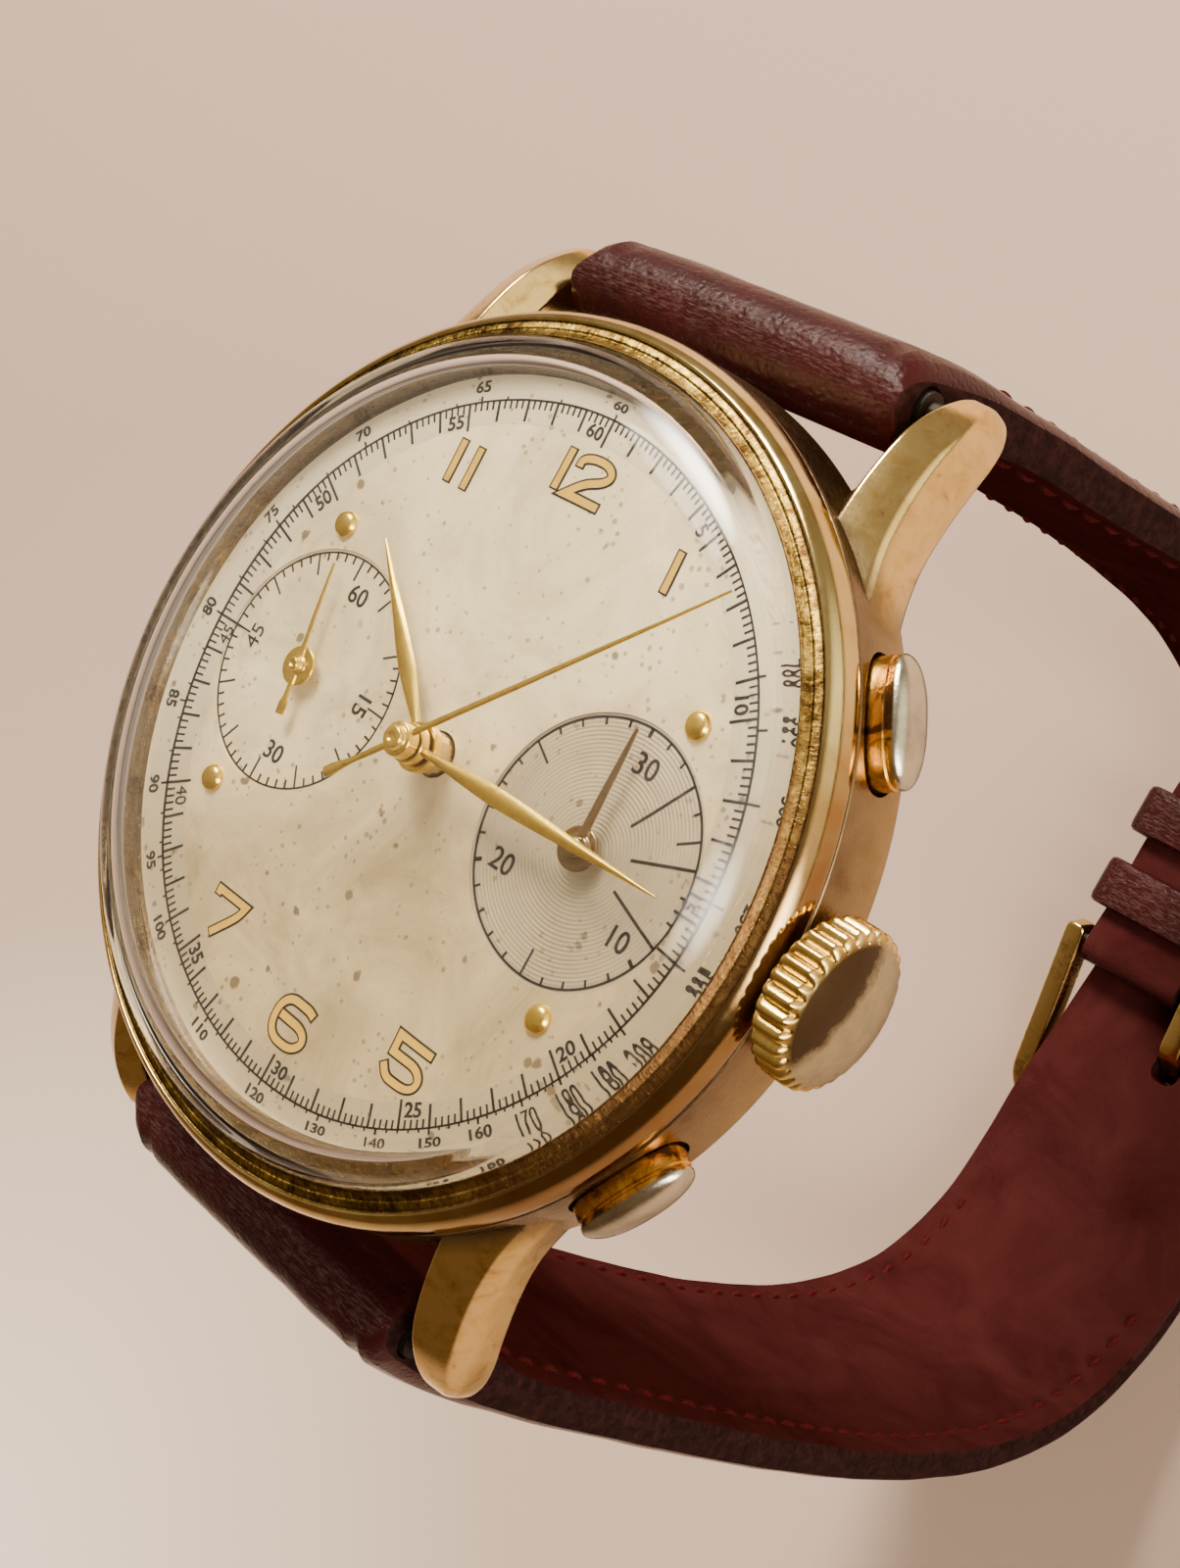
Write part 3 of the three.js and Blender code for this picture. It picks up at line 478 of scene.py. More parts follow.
def pusher_look():
    """Orange gold sides with brown patches, and pressed faces worn to silvery grey."""
    look = Look("pusher_gold", (0.85, 0.6, 0.3), 1.0, 0.25)
    face = look.between(look.radius(), 19.0, 30.0, 0.05)
    patches = look.noise(0.7, 5.0, 0.6, distortion=0.8)
    sides = look.ramp(patches, (0.42, (0.9, 0.5, 0.1)), (0.54, (0.66, 0.3, 0.05)), (0.6, (0.12, 0.05, 0.02)))
    worn = look.ramp(look.noise(0.6, 4.0), (0.4, (0.62, 0.58, 0.44)), (0.62, (0.4, 0.38, 0.28)))
    look.color(look.mix(face, sides, worn))
    look.rough(look.times(look.noise(5.0, 4.0), 0.18, 0.12))
    return look.bump(look.noise(6.0, 4.0, 0.7), 0.012).material


def metal(name, color, roughness, grain=0.004):
    """Machined metal of the inner works: a fine straight grain and a faint change of tone."""
    look = Look(name, color, 1.0, roughness)
    look.color(look.mix(look.noise(0.8, 4.0), color, tuple(c * 0.8 for c in color)))
    lines = look.noise(12.0, 3.0, 0.6, at=look.scaled(0.15, 2.0, 1.0))
    look.rough(look.times(lines, 0.14, roughness - 0.07))
    return look.bump(lines, grain).material


def gilt(name, color, dull, metallic=1.0, rough=0.12):
    """Polished gilt of the hands and numerals, slightly mottled with age."""
    look = Look(name, color, metallic, 0.22)
    age = look.noise(1.5, 6.0, 0.75)
    look.color(look.ramp(age, (0.52, color), (0.78, dull)))
    look.rough(look.times(look.noise(6.0, 4.0), 0.2, rough))
    return look.bump(look.noise(5.0, 3.0, 0.6), 0.0008).material


def dial_look():
    """Aged silvered dial: satin centre, a darker turned ring, grooved counter, specks and stains, with a
    painted sheen that lightens centre and ring towards 11 o'clock.
    """
    look = Look("dial_silver", (0.62, 0.55, 0.46), 0.35, 0.45)
    clouds = look.noise(0.17, 6.0, 0.68, distortion=0.7)
    # Painted sheen: the centre is lighter and more silvery towards 11 o'clock, darker and warmer towards 5
    # o'clock.
    across, up = look.axes()[:2]
    lean = look.times(across, -0.017, look.times(up, 0.036, 0.5))
    painted_sheen = look.ramp(lean, (0.32, 0.0), (0.64, 1.0))
    yellowed_in_painted_shade = look.ramp(clouds, (0.36, (0.42, 0.315, 0.155)), (0.64, (0.235, 0.17, 0.078)))
    silvered = look.ramp(clouds, (0.36, (0.64, 0.52, 0.31)), (0.64, (0.42, 0.335, 0.185)))
    centre = look.mix(painted_sheen, yellowed_in_painted_shade, silvered)
    radius = look.radius()
    ring = look.between(radius, 13.3, 30.0, 0.02)
    counter = look.between(look.radius(REGISTER_X), -9.0, 5.16, 0.03)
    # The turned ring takes the same painted sheen.
    edge = look.mix(painted_sheen, (0.29, 0.225, 0.125), (0.44, 0.365, 0.235))
    tinted = look.mix(look.times(ring, 0.8), centre, edge)
    tinted = look.mix(look.times(counter, 0.65), tinted, (0.21, 0.172, 0.112))
    ragged = look.noise(2.4, 4.0, 0.7)
    uneven = look.times(look.noise(0.35, 3.0), 0.9, look.times(ragged, 0.35))
    spots = look.ramp(look.math("ADD", uneven, look.cells(0.8)), (0.67, 1.0), (0.73, 0.0))
    specks = look.ramp(look.math("ADD", uneven, look.cells(2.1)), (0.71, 1.0), (0.79, 0.0))
    dirt = look.math("MAXIMUM", look.times(spots, 0.85), look.times(specks, 0.6))
    look.color(look.mix(dirt, tinted, (0.09, 0.058, 0.025)))
    turned_lines = look.math("SINE", look.times(look.radius(REGISTER_X), 2 * math.pi / 0.16))
    ring_lines = look.noise(8.0, 2.0, 0.7, at=look.polar(60.0))
    look.rough(look.times(look.noise(1.2, 5.0), 0.16, 0.36))
    look.bump(look.times(counter, turned_lines), 0.006)
    look.bump(look.times(ring, ring_lines), 0.012)
    return look.bump(look.noise(5.0, 5.0, 0.7), 0.005).material


def ink():
    look = Look("dial_ink", (0.008, 0.006, 0.004), 0.0, 0.7, Specular_IOR_Level=0.2)
    worn = look.noise(3.0, 4.0, 0.7)
    look.color(look.ramp(worn, (0.55, (0.006, 0.004, 0.003)), (0.85, (0.06, 0.045, 0.025))))
    return look.material


def crystal_look():
    """Clear domed acrylic. Rays from the lamps pass straight through, so that the dial is lit."""
    look = Look("crystal", (1, 1, 1), 0.0, 0.0, Transmission_Weight=1.0, IOR=1.49)
    shadow = look.node("ShaderNodeLightPath").outputs["Is Shadow Ray"]
    clear = look.node("ShaderNodeBsdfTransparent").outputs[0]
    blend = look.fed(look.node("ShaderNodeMixShader"), shadow, look.surface.outputs[0], clear)
    look.link(blend.outputs[0], look.tree.nodes["Material Output"].inputs["Surface"])
    return look.material


def leather(name, deep, light, scuffs=0.56, index=1.22):
    """Glazed calf: fine pebbled grain, stretched creases, and pale streaks on its upper ridges, partly
    scuffing and partly a painted highlight.
    """
    look = Look(name, deep, 0.0, 0.42, IOR=index)
    grain = look.cells(2.6, at=look.scaled(1.0, 1.25, 1.25))
    fine = look.noise(7.0, 5.0, 0.75)
    clouds = look.noise(0.16, 5.0, 0.65, distortion=0.7)
    base = look.ramp(clouds, (0.3, deep), (0.7, light))
    # Faces that look upwards get pale streaks: partly scuffed leather, partly a painted highlight where the
    # lamps fall from above.
    facing = look.node("ShaderNodeTexCoord").outputs["Normal"]
    _, _, upward = look.axes(facing)
    ridge = look.ramp(upward, (0.86, 0.0), (0.99, 1.0))
    streaks = look.noise(4.5, 5.0, 0.8, at=look.scaled(0.35, 2.2, 2.2))
    worn = look.times(ridge, look.ramp(streaks, (scuffs - 0.08, 0.0), (scuffs + 0.14, 0.6)))
    look.color(look.mix(worn, base, (0.13, 0.085, 0.068)))
    look.rough(look.times(fine, 0.22, look.times(worn, 0.3, 0.14)))
    look.bump(look.ramp(grain, (0.0, 0.0), (0.5, 1.0)), 0.022)
    return look.bump(fine, 0.02).bump(look.noise(1.4, 3.0, 0.6), 0.06).material


def thread_look():
    """Waxed linen thread, dark red, with its twist showing."""
    look = Look("thread", (0.08, 0.009, 0.009), 0.0, 0.8, IOR=1.1)
    strands = look.noise(12.0, 2.0, 0.5)
    look.color(look.ramp(strands, (0.35, (0.025, 0.003, 0.003)), (0.65, (0.08, 0.009, 0.009))))
    return look.bump(strands, 0.03).material


def dark_edge():
    """Black edge paint on the strap's cut sides, cracked dull."""
    look = Look("edge_paint", (0.012, 0.006, 0.006), 0.0, 0.6, IOR=1.08)
    worn = look.noise(2.0, 5.0, 0.7)
    look.color(look.ramp(worn, (0.4, (0.01, 0.004, 0.004)), (0.75, (0.035, 0.012, 0.011))))
    return look.bump(look.noise(3.0, 5.0, 0.7), 0.04).material


GOLD = plated_gold()
LUG_GOLD = satin_gold()
GILT = gilt("gilt", (0.9, 0.64, 0.1), (0.58, 0.38, 0.06))
NUMERAL_GILT = gilt("numeral_gilt", (0.46, 0.27, 0.03), (0.3, 0.17, 0.022), 0.35, 0.3)
TARNISHED = gilt("tarnished_gilt", (0.34, 0.25, 0.13), (0.16, 0.11, 0.05))
STEEL = metal("steel", (0.6, 0.6, 0.6), 0.28)
# Spring bars: dark patina, darkened further as painted shade for the dark bores of the strap that they lie
# in.
OLD_STEEL_IN_PAINTED_SHADE = metal("old_steel_in_painted_shade", (0.05, 0.042, 0.035), 0.6)
NICKEL = metal("nickel", (0.62, 0.59, 0.54), 0.32, 0.008)
BRASS = metal("wheel_brass", (0.72, 0.53, 0.24), 0.3)
INK = ink()
STRAP = leather("strap_leather", (0.018, 0.0028, 0.0034), (0.038, 0.0058, 0.0066))
LINING = leather("strap_lining", (0.03, 0.0055, 0.0055), (0.055, 0.013, 0.012), 0.8, 1.0)
EDGE = dark_edge()
THREAD = thread_look()


# ---- case ----------------------------------------------------------------------------

BAND_TOP_R, BAND_LOW_R, BAND_LOW_Z = 18.0, 18.25, -3.1
BORE_R, SEAT_R, SEAT_Z = 14.6, 16.05, -0.5
BACK_Z = -7.4
PUSHER_LONG, PUSHER_TALL, PUSHER_FULLNESS = 4.8, 2.2, 0.86
PUSHER_BASE_R, PUSHER_RIM_R, PUSHER_FACE_R, PUSHER_TRAVEL = 17.2, 19.05, 19.55, 1.0

# the lug's section as shares across and down from its inner top corner, corners rounded:
# a ridge on top with a bevel inside it, and outside it a slope, a crease and an upright flank
LUG_SECTION = [
    (0, 1, 0.1), (0.97, 1, 0.1), (1, 0.52, 0.12), (0.88, 0.22, 0.07), (0.34, 0, 0.04), (0, 0.36, 0.03),
]
# y, inner x, outer x, top z and bottom z along the lug
LUG_STATIONS = [
    (8.8, 9.4, 15.6, -0.15, -3.0), (10.6, 9.4, 14.45, -0.15, -3.0), (12.4, 9.4, 13.55, -0.2, -3.2),
    (14.2, 9.4, 12.85, -0.4, -3.7), (16.0, 9.4, 12.45, -0.8, -4.35), (17.8, 9.4, 12.2, -1.45, -5.1),
    (19.0, 9.4, 12.05, -2.15, -5.65), (20.0, 9.5, 11.8, -3.1, -6.0), (20.7, 9.7, 11.5, -4.05, -5.9),
    (21.0, 10.0, 11.1, -4.7, -5.5),
]


def catmull_rom(a, b, c, d, t):
    """The value at t on the way from b to c."""
    square = (2 * a - 5 * b + 4 * c - d) * t * t
    cube = (3 * b - a - 3 * c + d) * t ** 3
    return 0.5 * (2 * b + (c - a) * t + square + cube)


def spline(keys, count):
    """count + 1 points through the keys, on a Catmull-Rom curve."""
    made = []
    last = len(keys) - 1
    for i in range(count + 1):
        place = last * i / count
        k = min(int(place), last - 1)
        near = (keys[max(k - 1, 0)], keys[k], keys[k + 1], keys[min(k + 2, last)])
        made.append(tuple(catmull_rom(*four, place - k) for four in zip(*near)))
    return made


def lug():
    """One lug, lofted through its stations."""
    section = rounded(LUG_SECTION, 4)
    rows = []
    for y, inner, outer, top, bottom in spline(LUG_STATIONS, 45):
        rows.append([(lerp(inner, outer, across), y, lerp(top, bottom, down)) for across, down in section])
    return grid(rows, caps=True)


def pusher_outline(grow):
    """A lens-like oval, fuller than an ellipse."""
    made = []
    for i in range(72):
        a = 2 * math.pi * i / 72
        c, d = math.cos(a), math.sin(a)
        x = math.copysign(abs(c) ** PUSHER_FULLNESS, c) * (PUSHER_TALL / 2 + grow)
        y = math.copysign(abs(d) ** PUSHER_FULLNESS, d) * (PUSHER_LONG / 2 + grow)
        made.append((x, y))
    return made


def at_pusher(made, side):
    """What was built along z stands at a pusher, its z running out from the watch's axis."""
    turn = Matrix.Rotation(math.radians(side * PUSHER_ANGLE), 4, "Z")
    return moved(along_x(made), turn @ Matrix.Translation((0, 0, PUSHER_Z)))


def case_middle():
    profile = rounded([
        (BORE_R, BAND_LOW_Z), (BAND_LOW_R, BAND_LOW_Z, 0.25), (BAND_TOP_R + 0.02, 0, 0.12), (SEAT_R, 0, 0.05),
        (SEAT_R, SEAT_Z), (BORE_R, SEAT_Z),
    ])
    body = turned(profile)
    for sx, sy in ((1, 1), (-1, 1), (1, -1), (-1, -1)):
        corner = moved(lug(), Matrix.Diagonal((sx, sy, 1, 1)))
        for radius, low, high in ((SEAT_R - 0.4, -9, 1), (BAND_LOW_R, -9, BAND_LOW_Z)):
            combine(corner, rod(radius, low, high, sides=128))
        combine(body, corner, "UNION")
    combine(body, rod(BORE_R, -9, 1, sides=192))
    combine(body, rod(SEAT_R, SEAT_Z, 1, sides=192))
    for side in (-1, 1):
        combine(body, cross_rod(0.5, -10.9, 10.9, side * BAR_Y, BAR_Z))
        slot = prism(pusher_outline(0.15), PUSHER_BASE_R - PUSHER_TRAVEL - 0.1, 22)
        combine(body, at_pusher(slot, side))
        combine(body, at_pusher(rod(0.85, 14, 17), side))
    return combine(body, cross_rod(0.8, 14, 20, z=CROWN_Z))


def bezel():
    return turned(rounded([
        (16.55, 0.06), (BAND_TOP_R, 0.06, 0.05), (BAND_TOP_R + 0.06, 0.3, 0.25),
        (BAND_TOP_R - 0.06, 0.85, 0.4), (BAND_TOP_R - 0.32, 1.25, 0.3), (BAND_TOP_R - 0.58, 1.42, 0.08),
        (BAND_TOP_R - 0.7, 1.28, 0.06), (17.0, 1.42, 0.12), (16.93, 1.38, 0.05), (16.62, 1.62, 0.06),
        (16.55, 1.6, 0.03),
    ]), 256)


def crystal():
    outside = [(0, 4.6), (4, 4.53), (7, 4.38), (10, 4.12), (12, 3.85), (14, 3.48), (15.2, 3.15), (15.95, 2.7),
               (16.38, 2.1), (16.5, 1.4), (16.5, 0.8), (16.5, 0.2)]
    inside = [(15.7, 0.2), (15.68, 0.8), (15.5, 1.5), (15.0, 2.2), (14.0, 2.65), (12, 3.05), (8, 3.5),
              (4, 3.73), (0, 3.8)]
    return turned(spline(outside, 88) + spline(inside, 64), 320)


def case_back():
    """The shell, with a stepped outer face and two turned grooves in it."""
    profile = rounded([
        (0, BACK_Z), (13.6, BACK_Z, 0.1), (14.4, BACK_Z + 0.25, 0.3), (16.0, -6.3, 1.0), (17.3, -4.4, 0.8),
        (17.9, BAND_LOW_Z - 0.1, 0.1), (16.4, BAND_LOW_Z - 0.1), (15.9, -4.2), (14.4, BACK_Z + 0.8),
        (13.4, BACK_Z + 0.6), (0, BACK_Z + 0.6),
    ])
    body = turned(profile)
    for radius in (11.9, 12.3):
        mouth = BACK_Z - 0.1
        combine(body, turned([(radius - 0.07, mouth), (radius + 0.07, mouth), (radius, BACK_Z + 0.06)]))
    return body


def pusher(side):
    """Block with a rounded waist, a domed face and its stem."""
    rows = []
    shoulder = PUSHER_RIM_R - 0.15
    levels = [(0.12, PUSHER_BASE_R), (0.0, PUSHER_BASE_R + 0.12), (0.0, shoulder - 0.3),
              (0.07, shoulder - 0.24), (0.07, shoulder - 0.16), (0.0, shoulder - 0.1), (0.0, shoulder)]
    for inset, high in levels:
        rows.append([(x, y, high) for x, y in pusher_outline(-inset)])
    steps = 14
    for k in range(1, steps):
        a = math.pi / 2 * k / steps
        high = lerp(shoulder, PUSHER_FACE_R, math.sin(a))
        rows.append([(x * math.cos(a), y * math.cos(a), high) for x, y in pusher_outline(0)])
    body = grid(rows, caps=True)
    combine(body, rod(0.45, 13.1, PUSHER_BASE_R + 0.5, sides=24), "UNION")
    return at_pusher(body, side)


def crown():
    """Thirty flutes with rounded ends, a rim, and a shallow dome."""
    radius, rear, rim, top, flutes = 3.05, 18.5, 19.85, 20.65, 30
    profile = rounded([
        (0.9, rear + 0.45), (0.9, rear), (radius - 0.3, rear, 0.1), (radius, rear + 0.22, 0.15),
        (radius, rim, 0.1), (radius - 0.12, rim + 0.14, 0.08),
        (0.86 * radius, rim + 0.32, 0.3), (0.5 * radius, top - 0.1, 0.8), (0, top),
    ], 8) + [(0, rear + 0.45)]

    def fluted(angle, r):
        share = smoothstep(radius - 0.45, radius - 0.14, r)
        wave = 0.5 - 0.5 * math.cos(angle * flutes)
        return r - 0.24 * share * (1 - wave ** 0.45)

    return shifted(along_x(turned(profile, flutes * 14, radius=fluted)), z=CROWN_Z)


def build_case():
    finish("case_middle", "skin", case_middle(), LUG_GOLD, sharp=30)
    finish("bezel", "skin", bezel(), bezel_look())
    finish("crystal", "skin", crystal(), crystal_look(), sharp=50)
    finish("case_back", "skin", case_back(), LUG_GOLD)
    look = pusher_look()
    for name, side in (("upper_pusher", 1), ("lower_pusher", -1)):
        finish(name, "skin", pusher(side), look, name)
    finish("crown", "skin", crown(), crown_look(), "crown", sharp=45)


# ---- dial ----------------------------------------------------------------------------

TRACK_R = 14.41                   # base circle of the seconds track
SUB_RING_R = 5.0
SUB_FLOOR = DIAL_TOP - 0.06
NUMERAL_R = 11.82
NUMERAL_HALF, OUTLINE_HALF = 0.15, 0.235    # half widths of a gilt stroke and its printed outline
CAP_SHARE = 0.73                  # a figure's height as a share of its font size
DOTS_R, DOT_R = 11.83, 0.58       # the circle that the dots stand on, and a dot's own radius


def dial():
    disc = turned(rounded([(0, -0.4), (DIAL_R, -0.4), (DIAL_R, DIAL_TOP, 0.04), (0, DIAL_TOP)]), 256)
    for x in (-REGISTER_X, REGISTER_X):
        recess = turned([(0, SUB_FLOOR), (5.14, SUB_FLOOR), (5.24, 1), (0, 1)], 128)
        combine(disc, shifted(recess, x))
        combine(disc, rod(0.3, -2, 2, x))
    return combine(disc, rod(0.95, -2, 2))


def clock_point(radius, degrees, x=0.0):
    """A point on a dial circle, clockwise from 12."""
    a = math.radians(90 - degrees)
    return x + radius * math.cos(a), radius * math.sin(a)


def bar(inner, outer, width, degrees, floor, x=0.0):
    """A printed line along a radius."""
    half = width / 2
    flat = turned_flat([(inner, -half), (outer, -half), (outer, half), (inner, half)], 90 - degrees)
    return prism([(a + x, b) for a, b in flat], floor, floor + PRINT_HIGH)


def printed_ring(radius, width, floor, x=0.0):
    inner, outer, top = radius - width / 2, radius + width / 2, floor + PRINT_HIGH
    return shifted(turned([(inner, floor), (outer, floor), (outer, top), (inner, top)], 256), x)


def lettering(text, high, at, degrees, floor, weight=0.0):
    """Printed figures with their middle at a point, turned clockwise by degrees."""
    curve = bpy.data.curves.new("figures", "FONT")
    curve.body = text
    curve.size = high / CAP_SHARE
    curve.align_x, curve.align_y = "CENTER", "CENTER"
    curve.extrude = PRINT_HIGH / 2
    curve.offset = 0 if "4" in text else weight
    curve.resolution_u = 3
    source = in_scene("figures", curve)
    mesh = bpy.data.meshes.new_from_object(source.evaluated_get(bpy.context.evaluated_depsgraph_get()))
    bpy.data.objects.remove(source)
    made = shape([v.co for v in mesh.vertices], [list(face.vertices) for face in mesh.polygons])
    turn = Matrix.Rotation(-math.radians(degrees), 4, "Z")
    return moved(made, Matrix.Translation((*at, floor + PRINT_HIGH / 2)) @ turn)


def upright(degrees):
    """How far figures on a circle are turned so that they read without standing on their heads."""
    return degrees if degrees <= 95 or degrees >= 265 else degrees - 180


def seconds_track():
    marks = [printed_ring(TRACK_R, 0.1, DIAL_TOP)]
    for fifth in range(300):
        whole, five = fifth % 5 == 0, fifth % 25 == 0
        long = 1.25 if five else 1.0 if whole else 0.42
        marks.append(bar(TRACK_R - long, TRACK_R, 0.11 if whole else 0.085, fifth * 1.2, DIAL_TOP))
    for second in range(5, 61, 5):
        at = clock_point(TRACK_R - 0.78, second * 6 - 2.6)
        marks.append(lettering(str(second), 0.62, at, upright(second * 6), DIAL_TOP, 0.02))
    return marks


def speed_scale():
    """Units per hour outside the track: a speed stands where the hand is after 3600 / speed seconds."""
    marks = []
    speeds = [400, 350, 300, 250, 225, *range(200, 109, -10), *range(100, 59, -5)]
    for speed in speeds:
        degrees = 21600 / speed
        marks.append(bar(TRACK_R, TRACK_R + 0.3, 0.09, degrees, DIAL_TOP))
        high, weight = (0.52, 0.01) if speed > 165 else (0.58, 0.02)
        at = clock_point(TRACK_R + 0.76, degrees)
        marks.append(lettering(str(speed), high, at, upright(degrees), DIAL_TOP, weight))
    for speed in range(62, 200, 2):
        marks.append(bar(TRACK_R, TRACK_R + 0.18, 0.07, 21600 / speed, DIAL_TOP))
    return marks


def running_seconds_marks():
    marks = [printed_ring(SUB_RING_R, 0.08, SUB_FLOOR, -REGISTER_X)]
    for second in range(60):
        long = 0.95 if second % 5 == 0 else 0.36
        marks.append(bar(SUB_RING_R - long, SUB_RING_R, 0.085, second * 6, SUB_FLOOR, -REGISTER_X))
    for text, degrees, turn in (("60", 10, 0), ("15", 90, 90), ("30", 172, 0), ("45", 270, 270)):
        at = clock_point(3.65, degrees, -REGISTER_X)
        marks.append(lettering(text, 0.8, at, turn, SUB_FLOOR, 0.012))
    return marks


def minute_counter_marks():
    marks = [printed_ring(SUB_RING_R, 0.1, SUB_FLOOR, REGISTER_X)]
    for minute in range(30):
        if minute in (3, 6, 9):
            inner, width = 2.0, 0.12
        elif minute % 10 == 0:
            inner, width = SUB_RING_R - 0.35, 0.16
        else:
            inner, width = SUB_RING_R - (1.05 if minute % 5 == 0 else 0.3), 0.1
        marks.append(bar(inner, SUB_RING_R, width, minute * 12, SUB_FLOOR, REGISTER_X))
    for text, degrees in (("30", 8), ("10", 123), ("20", 237)):
        marks.append(lettering(text, 0.88, clock_point(3.7, degrees, REGISTER_X), 0, SUB_FLOOR, 0.012))
    return marks


def stroke(points, half, low, high):
    """One stroke of a numeral along a line of (x, y): even width, mitred corners, square ends."""
    path = [Vector(p) for p in points]
    rows = []
    for i, p in enumerate(path):
        before = (p - path[i - 1]).normalized() if i else None
        after = (path[i + 1] - p).normalized() if i < len(path) - 1 else None
        before, after = before or after, after or before
        along = (before + after).normalized()
        side = Vector((-along.y, along.x))
        side *= half / max(0.35, side.dot(Vector((-after.y, after.x))))
        left, right = p + side, p - side
        rows.append([(*left, low), (*right, low), (*right, high), (*left, high)])
    return grid(rows, caps=True)


TALL = 0.84                       # half the height of the gilt numerals
FIGURES = {
    "1": [(0, -TALL), (0, TALL)],
    "2": [(-0.85, 0.3), (-0.85, 0.62, 0.4), (-0.3, TALL, 0.5), (0.5, TALL, 0.6), (0.9, 0.5, 0.4),
          (0.6, 0.1, 0.5), (-0.2, -0.2, 0.5), (-0.9, -TALL), (0.9, -TALL)],
    "5": [(0.95, TALL), (-0.88, TALL), (-0.84, 0.14), (0.5, 0.14, 0.4), (0.95, -0.2, 0.4),
          (0.9, -0.6, 0.3), (0.5, -TALL, 0.4), (-0.6, -TALL, 0.3), (-1.0, -0.4)],
    "6": [(0.9, TALL - 0.1), (0.6, TALL, 0.2), (-0.5, TALL, 0.4), (-0.95, 0.4, 0.4), (-0.95, -0.4, 0.4),
          (-0.5, -TALL, 0.4), (0.5, -TALL, 0.4), (0.95, -0.45, 0.4), (0.9, -0.1, 0.3), (0.5, 0.1, 0.3),
          (-0.7, 0.1)],
    "7": [(-0.9, TALL - 0.25), (-0.9, TALL), (0.9, TALL), (0.7, 0.3, 0.5), (-0.3, -TALL)],
}
NUMERALS = {12: (("1", -1.15), ("2", 0.35)), 1: (("1", 0),), 5: (("5", 0),), 6: (("6", 0),), 7: (("7", 0),),
            11: (("1", -0.5), ("1", 0.5))}


def numerals(half, rise, extra):
    """Every hour numeral, each stroke longer than its line by extra at both ends."""
    strokes = []
    for hour, figures in NUMERALS.items():
        x, y = clock_point(NUMERAL_R, hour * 30)
        for figure, shift in figures:
            line = [Vector(p) for p in rounded(FIGURES[figure], 6, closed=False)]
            line[0] = line[0] + (line[0] - line[1]).normalized() * extra
            line[-1] = line[-1] + (line[-1] - line[-2]).normalized() * extra
            points = [(p.x + x + shift, p.y + y) for p in line]
            strokes.append(stroke(points, half, DIAL_TOP, DIAL_TOP + rise))
    return together(strokes)


def dot(hour):
    x, y = clock_point(DOTS_R, hour * 30)
    profile = rounded([(0, DIAL_TOP + 0.02), (DOT_R, DIAL_TOP + 0.02), (DOT_R, DIAL_TOP + 0.12, 0.05),
                       (0.72 * DOT_R, DIAL_TOP + 0.32, 0.2), (0, DIAL_TOP + 0.38)])
    return shifted(turned(profile, 48), x, y)


def build_dial():
    finish("dial", "face", dial(), dial_look(), sharp=25)
    printing = {"seconds_track": seconds_track, "speed_scale": speed_scale,
                "running_seconds": running_seconds_marks, "minute_counter": minute_counter_marks}
    for name, marks in printing.items():
        piece("printed_" + name, together(marks()), INK)
    piece("numeral_outlines", numerals(OUTLINE_HALF, PRINT_HIGH, 0.07), INK)
    piece("gilt_numerals", numerals(NUMERAL_HALF, 2 * PRINT_HIGH, 0.0), NUMERAL_GILT)
    for hour in (2, 4, 8, 10):
        piece(f"dot_{hour}", dot(hour), GILT, stands_for=[f"dial_dot_{hour}"])


# ---- hands ---------------------------------------------------------------------------

HAND_EDGE = 0.05                  # height of a hand's upright edges
HAND_SHARES = (-1, -0.75, -0.4, 0, 0.4, 0.75, 1)    # corners across its convex top


def blade(stations, low, crown_high):
    """A hand's arm along x from (x, half width): upright edges and a convex top."""
    rows = []
    for x, half in spline(stations, 4 * len(stations)):
        half = max(half, 0.01)
        rise = crown_high * min(1.0, half / 0.2)
        top = [(x, half * s, low + HAND_EDGE + rise * (1 - s * s)) for s in HAND_SHARES]
        rows.append([(x, half, low), (x, -half, low)] + top)
    return grid(rows, caps=True)


def leaf(length, width, neck):
    """Stations of a leaf-shaped hand."""
    return [(0.4, neck / 2), (length * 0.12, neck * 0.52), (length * 0.26, width * 0.42),
            (length * 0.37, width / 2), (length * 0.52, width * 0.44), (length * 0.75, width * 0.25),
            (length, 0.035)]


def straight(length, tail, wide, tail_wide):
    """Stations of a thin straight hand with a tail."""
    return [(-tail, tail_wide), (-tail + 0.5, tail_wide), (-tail * 0.6, wide * 0.9), (0, wide),
            (length * 0.5, wide * 0.75), (length, 0.045)]


def collet(outer, inner, low, high):
    """A hub: a ring with rounded rims, or a domed boss with a dimple where inner is 0."""
    if inner:
        return turned(rounded([(inner, low), (outer, low), (outer, high, 0.08), (inner, high, 0.05)]), 64)
    return turned(rounded([
        (0, low), (outer, low), (outer, high - 0.3, 0.1), (outer * 0.72, high - 0.26, 0.06),
        (outer * 0.62, high, 0.12), (outer * 0.3, high, 0.05), (0, high - 0.14),
    ]), 64)


def hand(stations, low, crown_high, hub, degrees, x):
    """An arm and its hub, given as a collet, turned to its place. A sub-dial's hand has a washer too."""
    arm = blade(stations, low, crown_high)
    _, inner, hub_low, hub_high = hub
    if inner:
        combine(arm, rod(inner, hub_low - 1, hub_high + 1))
    combine(arm, collet(*hub), "UNION")
    turn = Matrix.Rotation(math.radians(degrees), 4, "Z")
    made = moved(arm, Matrix.Translation((x, 0, 0)) @ turn)
    return combine(made, shifted(collet(0.84, 0.3, 0.5, 0.62), x), "UNION") if x else made


